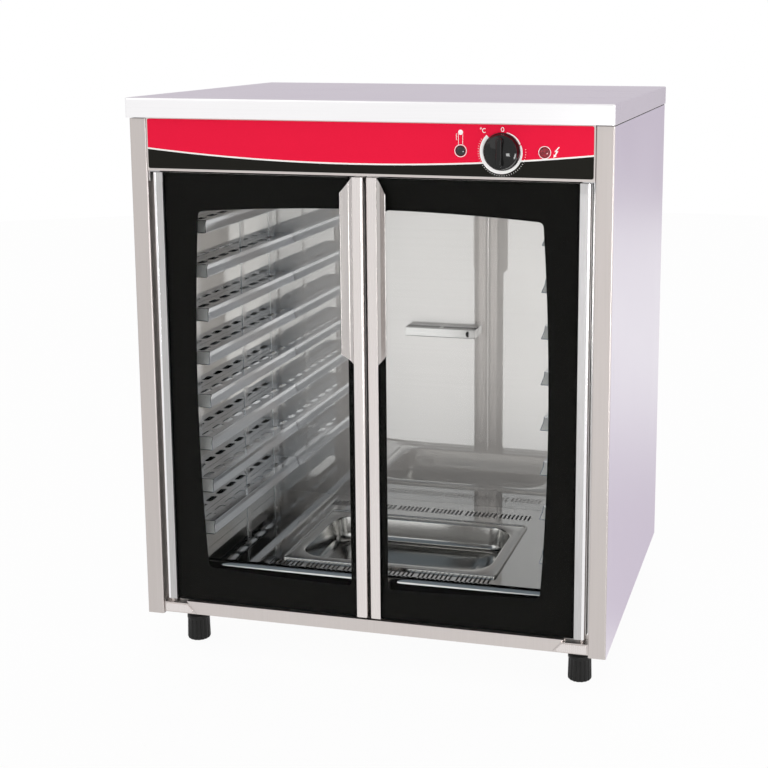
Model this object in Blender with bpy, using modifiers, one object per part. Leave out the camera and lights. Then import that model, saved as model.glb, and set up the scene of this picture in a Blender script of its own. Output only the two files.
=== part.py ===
"""Two-door glass-fronted proofing cabinet, modelled as the separate pieces it is assembled from.

Metres, +Z up. The origin is on the floor under the middle of the cabinet; the doors face -Y and +X is to
the right for someone standing in front of them.
"""

import math

import bmesh
import bpy
from mathutils import Matrix, Vector

# Overall size
cabinet_width = 0.800
cabinet_depth = 0.640
cabinet_height = 0.958

# Sheet metal and the clearances that every seat shares
sheet = 0.0012
seat_gap = 0.0003
bend_radius = 0.0022
cut_overrun = 0.004

# Worktop: a folded tray with a return all round
slab_edge = 0.032
slab_front_overhang = 0.012
slab_side_overhang = 0.0015
slab_return = 0.030

# Side panels, whose front flanges are the posts beside the doors
foot_height = 0.074
post_width = 0.029
post_return = 0.027
rear_flange = 0.020

# Base panel
base_rise = 0.0015
base_flange = 0.020
base_clearance = 0.0012

# Doors
door_rise = 0.0275
door_recess = 0.005
door_thickness = 0.018
door_top_gap = 0.003
door_centre_gap = 0.010
stile_width = 0.0155
profile_width = 0.0175
profile_outside = 0.0055
profile_corner = 0.004
glass_thickness = 0.005
glass_recess = 0.003
glass_seat = 0.008
hinge_inset = 0.012
hinge_setback = 0.009
collar_radius = 0.0035
pin_radius = 0.0022
pin_clearance = 0.0003
pin_engagement = 0.010
pin_bore_depth = 0.014
seal_thickness = 0.003
seal_setback = 0.0145
seal_clearance = 0.001
seal_end_gap = 0.002

# Pull wings on the centre stiles
wing_sheet = 0.0015
wing_flat = 0.005
wing_flare_out = 0.012
wing_flare_forward = 0.011
wing_length = 0.3025
wing_top_chamfer = 0.0245
wing_bottom_chamfer = 0.018

# Sill and the hinge brackets at its ends
sill_rise = 0.0025
sill_height = 0.022
sill_recess = 0.0045
sill_end_inset = 0.041
sill_slant = 0.019
bracket_height = 0.0177
mitre_gap = 0.0005
top_bracket_sheet = 0.0018
top_bracket_reach = 0.019
top_bracket_leg = 0.017
top_bracket_leg_sheet = 0.0015

# Control panel
fascia_height = 0.0862
fascia_setback = 0.0006
decal_thickness = 0.0006
decal_side_gap = 0.0025
decal_bottom_gap = 0.004
decal_top_gap = 0.0017
decal_corner = 0.003
controls_drop = 0.001
knob_inset = 0.145
thermostat_lamp_offset = 0.0653
power_lamp_offset = 0.0667
shaft_radius = 0.003
shaft_clearance = 0.0004
shaft_hole_radius = 0.005
knob_skirt_radius = 0.029
knob_crown_radius = 0.026
knob_skirt_height = 0.0035
knob_body_height = 0.013
knob_height = 0.025
knob_grip_width = 0.013
knob_grip_radius = 0.0235
knob_edge = 0.0012
shaft_length = 0.030
lamp_lens_radius = 0.0078
lamp_lens_height = 0.0032
lamp_body_radius = 0.005
lamp_body_length = 0.020
lamp_hole_clearance = 0.0003
thermostat_side = 0.046
thermostat_depth = 0.034

# Chamber lining
jamb_width = 0.0455
chamber_depth = 0.4145
jamb_gap = 0.0015
floor_rise = 0.0896
ceiling_drop = 0.013
ceiling_flange = 0.025
wall_top_gap = 0.0003

# Tray rails: eight levels on each side
rail_levels = 8
rail_first_rise = 0.0711
rail_head_gap = 0.0717
rail_reach = 0.042
rail_lip = 0.020
rail_return = 0.026
rail_sheet = 0.001
rail_front_gap = 0.0045
rail_rear_gap = 0.002

# Humidity pan in the floor
pan_width = 0.380
pan_length = 0.265
pan_shift = 0.010
pan_front_gap = 0.0505
pan_rim = 0.022
pan_rim_lip = 0.004
pan_rim_corner = 0.006
pan_basin_depth = 0.060
pan_basin_corner = 0.045
pan_basin_draft = 0.006
pan_basin_round = 0.012
pan_sheet = 0.001
pan_well_clearance = 0.002

# Heating element under the pan
element_radius = 0.00425
element_half_width = 0.090
element_front_inset = 0.060
element_corner = 0.040
element_drop = 0.011
element_tail = 0.030
element_clearance = 0.0004

# Temperature sensor behind its guard on the chamber's back wall
guard_width = 0.134
guard_height = 0.022
guard_depth = 0.018
guard_x = 0.0135
guard_rise = 0.3275
bulb_radius = 0.004
bulb_length = 0.110

# Feet
foot_radius = 0.020
foot_body_height = 0.046
foot_chamfer = 0.0025
neck_radius = 0.0165
foot_inset = 0.057
foot_setback = 0.083
stem_radius = 0.005
stem_length = 0.024
stem_clearance = 0.0005

# Cable gland on the back
gland_inset = 0.0985
gland_rise = 0.056
gland_thread_radius = 0.008
gland_nut_radius = 0.012
gland_bore_radius = 0.0045
gland_nut_depth = 0.011
gland_clearance = 0.0003

# Magnetic catch strip over the doors
catch_width = 0.060
catch_height = 0.008
catch_thickness = 0.0010

# Facets of the round pieces
round_steps = 32
fine_round_steps = 24
small_round_steps = 16
corner_steps = 6

# Planes worked out from the sizes above
body_half = cabinet_width / 2 - slab_side_overhang
body_front_y = -cabinet_depth / 2 + slab_front_overhang
body_back_y = cabinet_depth / 2
body_bottom_z = foot_height
slab_bottom_z = cabinet_height - slab_edge
body_top_z = slab_bottom_z - seat_gap
opening_half = body_half - post_width
chamber_half = opening_half - jamb_width
sill_top_half = opening_half - sill_end_inset
knob_x = opening_half - knob_inset
thermostat_lamp_x = knob_x - thermostat_lamp_offset
power_lamp_x = knob_x + power_lamp_offset
gland_x = gland_inset - body_half

door_front_y = body_front_y + door_recess
door_back_y = door_front_y + door_thickness
fascia_bottom_z = body_top_z - fascia_height
door_bottom_z = body_bottom_z + door_rise
door_top_z = fascia_bottom_z - door_top_gap
hinge_x = opening_half - hinge_inset
hinge_y = door_front_y + hinge_setback
glass_front_y = door_front_y + glass_recess
glass_back_y = glass_front_y + glass_thickness

jamb_y = door_back_y + jamb_gap
chamber_back_y = jamb_y + chamber_depth
floor_z = body_bottom_z + floor_rise
ceiling_z = fascia_bottom_z - ceiling_drop
rail_pitch = (ceiling_z - floor_z - rail_first_rise - rail_head_gap) / (rail_levels - 1)
fascia_front_y = body_front_y + fascia_setback
lining_front_seat_y = jamb_y - seat_gap
base_bottom_z = body_bottom_z + base_rise
base_top_z = base_bottom_z + sheet
lining_bottom_z = base_top_z + seat_gap
lining_top_z = ceiling_z + ceiling_flange

decal_low_z = fascia_bottom_z + decal_bottom_gap
decal_high_z = body_top_z - decal_top_gap
controls_z = (decal_low_z + decal_high_z) / 2 - controls_drop
decal_front_y = fascia_front_y - seat_gap - decal_thickness


def clear_scene():
    for item in list(bpy.data.objects):
        bpy.data.objects.remove(item, do_unlink=True)


clear_scene()
parts = bpy.data.collections.new("proofing_cabinet")
cutters = bpy.data.collections.new("cutters")
bpy.context.scene.collection.children.link(parts)
bpy.context.scene.collection.children.link(cutters)


def make_material(name, color, roughness, metallic):
    material = bpy.data.materials.new(name)
    material.use_nodes = True
    surface = material.node_tree.nodes["Principled BSDF"]
    surface.inputs["Base Color"].default_value = (*color, 1.0)
    surface.inputs["Roughness"].default_value = roughness
    surface.inputs["Metallic"].default_value = metallic
    material.diffuse_color = (*color, 1.0)
    return material


worktop_steel = make_material("worktop_steel", (0.80, 0.79, 0.80), 0.35, 1.0)
body_steel = make_material("body_steel", (0.66, 0.62, 0.59), 0.38, 1.0)
lining_steel = make_material("lining_steel", (0.74, 0.75, 0.76), 0.10, 1.0)
stile_steel = make_material("stile_steel", (0.72, 0.69, 0.67), 0.30, 1.0)
profile_aluminium = make_material("profile_aluminium", (0.62, 0.65, 0.68), 0.35, 1.0)
printed_glass = make_material("printed_glass", (0.02, 0.02, 0.018), 0.05, 0.0)
fascia_print = make_material("fascia_print", (0.80, 0.02, 0.06), 0.40, 0.0)
gloss_black = make_material("gloss_black", (0.01, 0.01, 0.01), 0.12, 0.0)
lamp_black = make_material("lamp_black", (0.01, 0.01, 0.01), 0.20, 0.0)
lamp_red = make_material("lamp_red", (0.30, 0.01, 0.02), 0.20, 0.0)
foot_plastic = make_material("foot_plastic", (0.02, 0.02, 0.02), 0.45, 0.0)
seal_rubber = make_material("seal_rubber", (0.02, 0.02, 0.02), 0.70, 0.0)
housing_plastic = make_material("housing_plastic", (0.10, 0.10, 0.10), 0.50, 0.0)
element_steel = make_material("element_steel", (0.30, 0.28, 0.26), 0.45, 1.0)
pan_steel = make_material("pan_steel", (0.70, 0.69, 0.67), 0.18, 1.0)
hinge_steel = make_material("hinge_steel", (0.55, 0.56, 0.58), 0.30, 1.0)


def place(u, v, w, along):
    """A section's point in space: u, v and w are x, y, z along Z; y, z, x along X; and x, z, y along Y."""
    if along == "Z":
        return Vector((u, v, w))
    if along == "X":
        return Vector((w, u, v))
    return Vector((u, w, v))


def add_mesh(name, mesh, material):
    item = bpy.data.objects.new(name, mesh)
    parts.objects.link(item)
    mesh.materials.append(material)
    return item


def thicken(item, thickness):
    """Give an open surface its thickness, on the side away from its normals."""
    wall = item.modifiers.new("wall", "SOLIDIFY")
    wall.thickness = thickness
    wall.offset = -1.0
    wall.use_even_offset = True


def finished_mesh(name, shape):
    mesh = bpy.data.meshes.new(name)
    shape.to_mesh(mesh)
    shape.free()
    return mesh


def carry(shape, edges, path):
    """Sweep edges along a straight path, leaving a face behind each."""
    swept = bmesh.ops.extrude_edge_only(shape, edges=edges)["geom"]
    moved = [part for part in swept if isinstance(part, bmesh.types.BMVert)]
    bmesh.ops.translate(shape, verts=moved, vec=path)


def face_outwards(shape, face, outward):
    """Turn an open surface so that one of its faces looks the way given."""
    bmesh.ops.recalc_face_normals(shape, faces=shape.faces)
    if face.normal.dot(outward) < 0.0:
        bmesh.ops.reverse_faces(shape, faces=shape.faces)


def bent_sheet(name, path, along, low, high, thickness, material, rounded=False):
    """A folded sheet: an open section carried along an axis.

    Seen with the section's first coordinate to the right and its second upwards, the points lie on the face
    to the right of the direction of travel, and the thickness goes to the left.
    """
    shape = bmesh.new()
    corners = [shape.verts.new(place(u, v, low, along)) for u, v in path]
    folds = [shape.edges.new(pair) for pair in zip(corners, corners[1:])]
    carry(shape, folds, place(0.0, 0.0, high - low, along))
    run = Vector(path[1]) - Vector(path[0])
    face_outwards(shape, corners[0].link_faces[0], place(run.y, -run.x, 0.0, along))
    mesh = finished_mesh(name, shape)
    item = add_mesh(name, mesh, material)
    if rounded:
        bend = item.modifiers.new("bends", "BEVEL")
        bend.width = bend_radius
        bend.segments = 2
        bend.limit_method = "ANGLE"
    thicken(item, thickness)
    return item


def tray(name, outline, along, face_at, open_at, thickness, material):
    """A folded tray: a closed outline for its face, walls all round and the far side open."""
    shape = bmesh.new()
    face = shape.faces.new([shape.verts.new(place(u, v, face_at, along)) for u, v in outline])
    carry(shape, list(face.edges), place(0.0, 0.0, open_at - face_at, along))
    face_outwards(shape, face, place(0.0, 0.0, face_at - open_at, along))
    item = add_mesh(name, finished_mesh(name, shape), material)
    thicken(item, thickness)
    return item


def outline_mesh(name, outline, along, low, high):
    """A flat outline filled and carried from low to high along an axis, as one closed mesh."""
    curve = bpy.data.curves.new(name + "_outline", "CURVE")
    curve.dimensions = "2D"
    curve.fill_mode = "BOTH"
    curve.extrude = (high - low) / 2
    spline = curve.splines.new("POLY")
    spline.points.add(len(outline) - 1)
    for point, (u, v) in zip(spline.points, outline):
        point.co = (u, v, 0.0, 1.0)
    spline.use_cyclic_u = True
    guide = bpy.data.objects.new(name + "_outline", curve)
    bpy.context.scene.collection.objects.link(guide)
    bpy.context.view_layer.update()
    shown = guide.evaluated_get(bpy.context.evaluated_depsgraph_get())
    mesh = bpy.data.meshes.new_from_object(shown)
    bpy.data.objects.remove(guide, do_unlink=True)
    middle = (low + high) / 2
    columns = [place(1.0, 0.0, 0.0, along), place(0.0, 1.0, 0.0, along), place(0.0, 0.0, 1.0, along)]
    turn = Matrix([[column[row] for column in columns] for row in range(3)]).to_4x4()
    mesh.transform(Matrix.Translation(place(0.0, 0.0, middle, along)) @ turn)
    shape = bmesh.new()
    shape.from_mesh(mesh)
    bmesh.ops.remove_doubles(shape, verts=shape.verts, dist=weld_distance)
    bmesh.ops.recalc_face_normals(shape, faces=shape.faces)
    shape.to_mesh(mesh)
    shape.free()
    mesh.name = name
    return mesh


def plate(name, outline, along, low, high, material):
    return add_mesh(name, outline_mesh(name, outline, along, low, high), material)


def box_mesh(name, low, high):
    low = Vector(low)
    high = Vector(high)
    shape = bmesh.new()
    bmesh.ops.create_cube(shape, size=1.0)
    stretch = Matrix.Diagonal((*(high - low), 1.0))
    shape.transform(Matrix.Translation((low + high) / 2) @ stretch)
    return finished_mesh(name, shape)


def box(name, low, high, material):
    return add_mesh(name, box_mesh(name, low, high), material)


def cutter(name, mesh):
    item = bpy.data.objects.new(name, mesh)
    cutters.objects.link(item)
    item.hide_render = True
    item.display_type = "WIRE"
    return item


def combine(item, tool, operation):
    step = item.modifiers.new(operation.lower(), "BOOLEAN")
    step.operation = operation
    step.object = tool
    step.solver = "EXACT"


def rod_mesh(name, radius, start, end, steps):
    """A round rod between two points."""
    start = Vector(start)
    end = Vector(end)
    shape = bmesh.new()
    bmesh.ops.create_cone(
        shape, cap_ends=True, segments=steps, radius1=radius, radius2=radius, depth=(end - start).length
    )
    turn = (end - start).to_track_quat("Z", "X").to_matrix().to_4x4()
    shape.transform(Matrix.Translation((start + end) / 2) @ turn)
    return finished_mesh(name, shape)


def turned_mesh(name, profile, base, direction, steps, closed=False):
    """A turned piece: radius and height pairs, outer side first and downwards, about an axis from base."""
    mesh = bpy.data.meshes.new(name + "_profile")
    count = len(profile)
    edges = [(i, i + 1) for i in range(count - 1)]
    if closed:
        edges.append((count - 1, 0))
    mesh.from_pydata([(radius, 0.0, height) for radius, height in profile], edges, [])
    guide = bpy.data.objects.new(name + "_profile", mesh)
    bpy.context.scene.collection.objects.link(guide)
    screw = guide.modifiers.new("turn", "SCREW")
    screw.steps = steps
    screw.render_steps = steps
    screw.use_merge_vertices = True
    screw.merge_threshold = weld_distance
    bpy.context.view_layer.update()
    shown = guide.evaluated_get(bpy.context.evaluated_depsgraph_get())
    result = bpy.data.meshes.new_from_object(shown)
    bpy.data.objects.remove(guide, do_unlink=True)
    turn = Vector(direction).to_track_quat("Z", "X").to_matrix().to_4x4()
    result.transform(Matrix.Translation(Vector(base)) @ turn)
    shape = bmesh.new()
    shape.from_mesh(result)
    bmesh.ops.recalc_face_normals(shape, faces=shape.faces)
    shape.to_mesh(result)
    shape.free()
    result.name = name
    return result


def turned(name, profile, base, direction, steps, material, closed=False):
    item = add_mesh(name, turned_mesh(name, profile, base, direction, steps, closed), material)
    smooth(item)
    return item


def smooth(item):
    item.data.shade_smooth()
    item.data.set_sharp_from_angle(angle=math.radians(sharp_degrees))


def rounded_outline(centre_u, centre_v, width, length, radius):
    """A rectangle with round corners, counter-clockwise."""
    points = []
    for quarter, (su, sv) in enumerate(((1, 1), (-1, 1), (-1, -1), (1, -1))):
        cu = centre_u + su * (width / 2 - radius)
        cv = centre_v + sv * (length / 2 - radius)
        points += corner_arc(cu, cv, radius, quarter)
    return points


def joint_empty(name, location):
    empty = bpy.data.objects.new(name, None)
    empty.location = location
    parts.objects.link(empty)
    return empty


def hang_on(empty, items):
    bpy.context.view_layer.update()
    for item in items:
        item.parent = empty
        item.matrix_parent_inverse = empty.matrix_world.inverted()


weld_distance = 0.00001
sharp_degrees = 35.0
sides = (("left", -1.0), ("right", 1.0))


def build_worktop():
    """Folded tray, open underneath inside a return that sits on the panels."""
    low = Vector((-cabinet_width / 2, -cabinet_depth / 2, slab_bottom_z))
    high = Vector((cabinet_width / 2, cabinet_depth / 2, cabinet_height))
    shape = bmesh.new()
    bmesh.ops.create_cube(shape, size=1.0)
    stretch = Matrix.Diagonal((*(high - low), 1.0))
    shape.transform(Matrix.Translation((low + high) / 2) @ stretch)
    under = [face for face in shape.faces if face.normal.z < -math.cos(math.radians(sharp_degrees))]
    bmesh.ops.inset_region(shape, faces=under, thickness=slab_return)
    bmesh.ops.delete(shape, geom=under, context="FACES")
    item = add_mesh("top_panel", finished_mesh("top_panel", shape), worktop_steel)
    thicken(item, sheet)


def build_side_panels():
    """Each side is one folded sheet: post return, post, side and rear flange."""
    back_y = body_back_y - sheet - seat_gap
    for name, side in sides:
        path = [
            (side * opening_half, body_front_y + post_return),
            (side * opening_half, body_front_y),
            (side * body_half, body_front_y),
            (side * body_half, back_y),
            (side * (body_half - rear_flange), back_y),
        ]
        if side < 0:
            path.reverse()
        bent_sheet(
            "side_panel_" + name, path, "Z", body_bottom_z, body_top_z, sheet, body_steel, rounded=True
        )


def build_back_and_base():
    half = body_half - sheet - seat_gap
    back = box(
        "back_panel",
        (-half, body_back_y - sheet, body_bottom_z + base_rise),
        (half, body_back_y, body_top_z),
        body_steel,
    )
    gland_z = body_bottom_z + gland_rise
    hole = rod_mesh(
        "gland_hole",
        gland_thread_radius + gland_clearance,
        (gland_x, body_back_y - sheet - cut_overrun, gland_z),
        (gland_x, body_back_y + cut_overrun, gland_z),
        fine_round_steps,
    )
    combine(back, cutter("gland_hole", hole), "DIFFERENCE")

    base_half = body_half - sheet - base_clearance
    path = [
        (-base_half, base_bottom_z + base_flange),
        (-base_half, base_bottom_z),
        (base_half, base_bottom_z),
        (base_half, base_bottom_z + base_flange),
    ]
    front = body_front_y + post_return + seat_gap
    rear = body_back_y - 2 * sheet - seat_gap - base_clearance
    base = bent_sheet("base_panel", path, "Y", front, rear, sheet, body_steel)
    for foot_name, x, y in foot_places():
        stem_hole = rod_mesh(
            foot_name + "_hole",
            stem_radius + stem_clearance,
            (x, y, base_bottom_z - cut_overrun),
            (x, y, base_top_z + cut_overrun),
            small_round_steps,
        )
        combine(base, cutter(foot_name + "_hole", stem_hole), "DIFFERENCE")


def foot_places():
    x = cabinet_width / 2 - foot_inset
    front = body_front_y + foot_setback
    return [
        ("foot_front_left", -x, front),
        ("foot_front_right", x, front),
        ("foot_rear_left", -x, -front),
        ("foot_rear_right", x, -front),
    ]


def build_sill():
    """Front strip under the doors, its ends slanted in towards the bottom."""
    low = body_bottom_z + sill_rise
    high = low + sill_height
    outline = [
        (-sill_top_half + sill_slant, low),
        (sill_top_half - sill_slant, low),
        (sill_top_half, high),
        (-sill_top_half, high),
    ]
    front = body_front_y + sill_recess
    tray("sill_strip", outline, "Y", front, lining_front_seat_y, sheet, body_steel)


def build_bottom_brackets():
    """Hinge brackets that fill the sill's corners and carry the lower pins."""
    low = body_bottom_z + sill_rise
    high = low + bracket_height
    outer = opening_half - seat_gap
    slant_per_rise = sill_slant / sill_height
    low_inner = sill_top_half - sill_slant + mitre_gap
    high_inner = low_inner + slant_per_rise * bracket_height
    front = body_front_y + sill_recess
    for name, side in sides:
        outline = [
            (side * outer, low),
            (side * low_inner, low),
            (side * high_inner, high),
            (side * outer, high),
        ]
        bracket = tray(
            "hinge_bracket_bottom_" + name, outline, "Y", front, lining_front_seat_y, sheet, body_steel
        )
        tip = door_bottom_z + pin_engagement
        pin = rod_mesh(
            "pin_bottom_" + name,
            pin_radius,
            (side * hinge_x, hinge_y, high - sheet / 2),
            (side * hinge_x, hinge_y, tip),
            small_round_steps,
        )
        combine(bracket, cutter("pin_bottom_" + name, pin), "UNION")
        collar = rod_mesh(
            "collar_bottom_" + name,
            collar_radius,
            (side * hinge_x, hinge_y, high - sheet / 2),
            (side * hinge_x, hinge_y, door_bottom_z - seat_gap),
            small_round_steps,
        )
        combine(bracket, cutter("collar_bottom_" + name, collar), "UNION")


def build_top_brackets():
    """L-shaped hinge brackets under the control panel, with the upper pins pointing down."""
    high = fascia_bottom_z - seat_gap
    front = door_front_y + sheet
    outer = opening_half - seat_gap
    for name, side in sides:
        outline = [
            (side * outer, high),
            (side * outer, high - top_bracket_leg),
            (side * (outer - top_bracket_leg_sheet), high - top_bracket_leg),
            (side * (outer - top_bracket_leg_sheet), high - top_bracket_sheet),
            (side * (outer - top_bracket_reach), high - top_bracket_sheet),
            (side * (outer - top_bracket_reach), high),
        ]
        bracket = plate(
            "hinge_bracket_top_" + name, outline, "Y", front, lining_front_seat_y, hinge_steel
        )
        pin = rod_mesh(
            "pin_top_" + name,
            pin_radius,
            (side * hinge_x, hinge_y, door_top_z - pin_engagement),
            (side * hinge_x, hinge_y, high - top_bracket_sheet / 2),
            small_round_steps,
        )
        combine(bracket, cutter("pin_top_" + name, pin), "UNION")


def control_hole(item, name, x, radius, steps):
    tool = rod_mesh(
        name,
        radius,
        (x, decal_front_y - cut_overrun, controls_z),
        (x, fascia_front_y + sheet + cut_overrun, controls_z),
        steps,
    )
    combine(item, cutter(name, tool), "DIFFERENCE")


def build_control_panel():
    half = opening_half - seat_gap
    outline = [
        (-half, fascia_bottom_z),
        (half, fascia_bottom_z),
        (half, body_top_z),
        (-half, body_top_z),
    ]
    fascia = tray(
        "control_fascia", outline, "Y", fascia_front_y, lining_front_seat_y, sheet, body_steel
    )
    decal_width = 2 * (half - decal_side_gap)
    decal_outline = rounded_outline(
        0.0,
        (decal_low_z + decal_high_z) / 2,
        decal_width,
        decal_high_z - decal_low_z,
        decal_corner,
    )
    decal = plate(
        "fascia_decal",
        decal_outline,
        "Y",
        decal_front_y,
        decal_front_y + decal_thickness,
        fascia_print,
    )
    lamp_hole = lamp_body_radius + lamp_hole_clearance
    for item, prefix in ((fascia, "fascia"), (decal, "decal")):
        control_hole(item, prefix + "_shaft_hole", knob_x, shaft_hole_radius, small_round_steps)
        control_hole(item, prefix + "_lamp_hole_1", thermostat_lamp_x, lamp_hole, small_round_steps)
        control_hole(item, prefix + "_lamp_hole_2", power_lamp_x, lamp_hole, small_round_steps)


def build_lamps():
    """Indicator lamps: a domed lens outside the panel and a round body through it."""
    seat = decal_front_y - seat_gap
    for name, x, material in (
        ("thermostat_lamp", thermostat_lamp_x, lamp_black),
        ("power_lamp", power_lamp_x, lamp_red),
    ):
        profile = [(0.0, lamp_lens_height)]
        for i in range(1, corner_steps):
            angle = i / corner_steps * math.pi / 2
            profile.append((lamp_lens_radius * math.sin(angle), lamp_lens_height * math.cos(angle)))
        profile.append((lamp_lens_radius, 0.0))
        profile.append((lamp_body_radius, 0.0))
        profile.append((lamp_body_radius, -lamp_body_length))
        profile.append((0.0, -lamp_body_length))
        turned(name, profile, (x, seat, controls_z), (0.0, -1.0, 0.0), fine_round_steps, material)


def build_thermostat():
    half = thermostat_side / 2
    front = fascia_front_y + sheet + seat_gap
    body = box(
        "thermostat_body",
        (knob_x - half, front, controls_z - half),
        (knob_x + half, front + thermostat_depth, controls_z + half),
        housing_plastic,
    )
    bore_end = front + shaft_length
    bore = rod_mesh(
        "shaft_bore",
        shaft_radius + shaft_clearance,
        (knob_x, front - cut_overrun, controls_z),
        (knob_x, bore_end, controls_z),
        small_round_steps,
    )
    combine(body, cutter("shaft_bore", bore), "DIFFERENCE")


def build_knob():
    """Skirted knob with a raised grip bar, and the shaft that reaches into the thermostat."""
    seat = decal_front_y - seat_gap
    profile = [
        (0.0, knob_body_height),
        (knob_crown_radius - knob_edge, knob_body_height),
        (knob_crown_radius, knob_body_height - knob_edge),
        (knob_skirt_radius - knob_edge, knob_skirt_height),
        (knob_skirt_radius, knob_skirt_height - knob_edge),
        (knob_skirt_radius, 0.0),
        (shaft_radius, 0.0),
        (shaft_radius, -shaft_length),
        (0.0, -shaft_length),
    ]
    knob = turned("knob", profile, (knob_x, seat, controls_z), (0.0, -1.0, 0.0), round_steps, gloss_black)
    grip_outline = rounded_outline(
        knob_x,
        controls_z,
        knob_grip_width,
        2 * knob_grip_radius,
        knob_grip_width / 2 - knob_edge,
    )
    grip = outline_mesh(
        "knob_grip", grip_outline, "Y", seat - knob_height, seat - knob_body_height / 2
    )
    combine(knob, cutter("knob_grip", grip), "UNION")
    axis = joint_empty("knob_axis", (knob_x, seat, controls_z))
    hang_on(axis, [knob])


def build_lining():
    """Polished chamber walls with their jambs, ceiling, back and floor."""
    wall_top = lining_top_z
    for name, side in sides:
        path = [
            (side * (opening_half - seat_gap), jamb_y),
            (side * chamber_half, jamb_y),
            (side * chamber_half, chamber_back_y - seat_gap),
        ]
        if side > 0:
            path.reverse()
        bent_sheet(
            "chamber_wall_" + name, path, "Z", lining_bottom_z, wall_top, sheet, lining_steel
        )
    half = chamber_half - seat_gap
    rear = chamber_back_y - seat_gap
    ceiling_path = [(rear, ceiling_z), (jamb_y, ceiling_z), (jamb_y, lining_top_z)]
    ceiling_path.reverse()
    bent_sheet("chamber_ceiling", ceiling_path, "X", -half, half, sheet, lining_steel)
    back = box(
        "chamber_back",
        (-chamber_half - sheet, chamber_back_y, lining_bottom_z),
        (chamber_half + sheet, chamber_back_y + sheet, lining_top_z),
        lining_steel,
    )
    floor_path = [(rear, floor_z), (jamb_y, floor_z), (jamb_y, lining_bottom_z)]
    floor = bent_sheet("chamber_floor", floor_path, "X", -half, half, sheet, lining_steel)
    well = rounded_outline(
        pan_shift,
        pan_centre_y(),
        pan_width - 2 * pan_rim + 2 * pan_well_clearance,
        pan_length - 2 * pan_rim + 2 * pan_well_clearance,
        pan_basin_corner + pan_well_clearance,
    )
    well_mesh = outline_mesh(
        "pan_well", well, "Z", floor_z - sheet - cut_overrun, floor_z + cut_overrun
    )
    combine(floor, cutter("pan_well", well_mesh), "DIFFERENCE")
    for index, x in enumerate((-element_half_width, element_half_width)):
        name = "element_hole_" + str(index + 1)
        hole = rod_mesh(
            name,
            element_radius + element_clearance,
            (x + pan_shift, chamber_back_y - cut_overrun, element_z()),
            (x + pan_shift, chamber_back_y + sheet + cut_overrun, element_z()),
            fine_round_steps,
        )
        combine(back, cutter(name, hole), "DIFFERENCE")


def pan_centre_y():
    return jamb_y + pan_front_gap + pan_length / 2


def element_z():
    return floor_z - pan_basin_depth - element_drop


def build_rails():
    """Hollow tray rails, one folded section for each level and side."""
    wall_x = chamber_half - seat_gap
    lip_x = chamber_half - rail_reach
    front = jamb_y + rail_front_gap
    rear = chamber_back_y - rail_rear_gap
    for name, side in sides:
        for level in range(rail_levels):
            top = floor_z + rail_first_rise + level * rail_pitch
            low = top - rail_lip
            path = [
                (side * wall_x, low),
                (side * wall_x, top),
                (side * lip_x, top),
                (side * lip_x, low),
                (side * (lip_x + rail_return), low),
            ]
            if side < 0:
                path.reverse()
            bent_sheet(
                "tray_rail_" + name + "_" + str(level + 1), path, "Y", front, rear, rail_sheet, lining_steel
            )


def loft_mesh(name, loops):
    """Skin between loops of equal count, closed over the last one."""
    count = len(loops[0])
    corners = [corner for loop in loops for corner in loop]
    faces = []
    for k in range(len(loops) - 1):
        for i in range(count):
            after = (i + 1) % count
            faces.append([k * count + i, k * count + after, (k + 1) * count + after, (k + 1) * count + i])
    faces.append([(len(loops) - 1) * count + i for i in range(count)])
    mesh = bpy.data.meshes.new(name)
    mesh.from_pydata(corners, [], faces)
    return mesh


def build_pan():
    """Shallow pressed pan, its rim resting on the chamber floor and its basin hanging through it."""
    rim_low = floor_z + seat_gap
    rim_high = rim_low + pan_rim_lip
    basin_width = pan_width - 2 * pan_rim
    basin_length = pan_length - 2 * pan_rim
    bottom = floor_z - pan_basin_depth
    levels = [
        (pan_width, pan_length, pan_rim_corner, rim_low),
        (pan_width, pan_length, pan_rim_corner, rim_high),
        (basin_width, basin_length, pan_basin_corner, rim_high),
        (
            basin_width - 2 * pan_basin_draft,
            basin_length - 2 * pan_basin_draft,
            pan_basin_corner - pan_basin_draft,
            bottom + pan_basin_round,
        ),
        (
            basin_width - 2 * pan_basin_draft - 2 * pan_basin_round,
            basin_length - 2 * pan_basin_draft - 2 * pan_basin_round,
            pan_basin_corner - pan_basin_draft - pan_basin_round,
            bottom,
        ),
    ]
    loops = []
    for width, length, radius, z in levels:
        outline = rounded_outline(pan_shift, pan_centre_y(), width, length, radius)
        loops.append([(u, v, z) for u, v in outline])
    pan = add_mesh("water_pan", loft_mesh("water_pan", loops), pan_steel)
    thicken(pan, pan_sheet)
    axis = joint_empty("water_pan_lift", (pan_shift, pan_centre_y(), rim_low))
    hang_on(axis, [pan])


def build_heating_element():
    """Hairpin tube under the pan, its ends out through the chamber's back sheet."""
    z = element_z()
    front = jamb_y + element_front_inset
    rear = chamber_back_y + element_tail
    points = [(-element_half_width + pan_shift, rear)]
    for side in (-1.0, 1.0):
        cx = side * (element_half_width - element_corner)
        cy = front + element_corner
        for i in range(corner_steps + 1):
            angle = i / corner_steps * math.pi / 2
            if side > 0:
                angle = math.pi / 2 - angle
            points.append(
                (
                    cx + side * element_corner * math.cos(angle) + pan_shift,
                    cy - element_corner * math.sin(angle),
                )
            )
    points.append((element_half_width + pan_shift, rear))
    curve = bpy.data.curves.new("heating_element", "CURVE")
    curve.dimensions = "3D"
    curve.bevel_depth = element_radius
    curve.bevel_resolution = 2
    curve.use_fill_caps = True
    spline = curve.splines.new("POLY")
    spline.points.add(len(points) - 1)
    for point, (x, y) in zip(spline.points, points):
        point.co = (x, y, z, 1.0)
    curve.materials.append(element_steel)
    element = bpy.data.objects.new("heating_element", curve)
    parts.objects.link(element)


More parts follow.
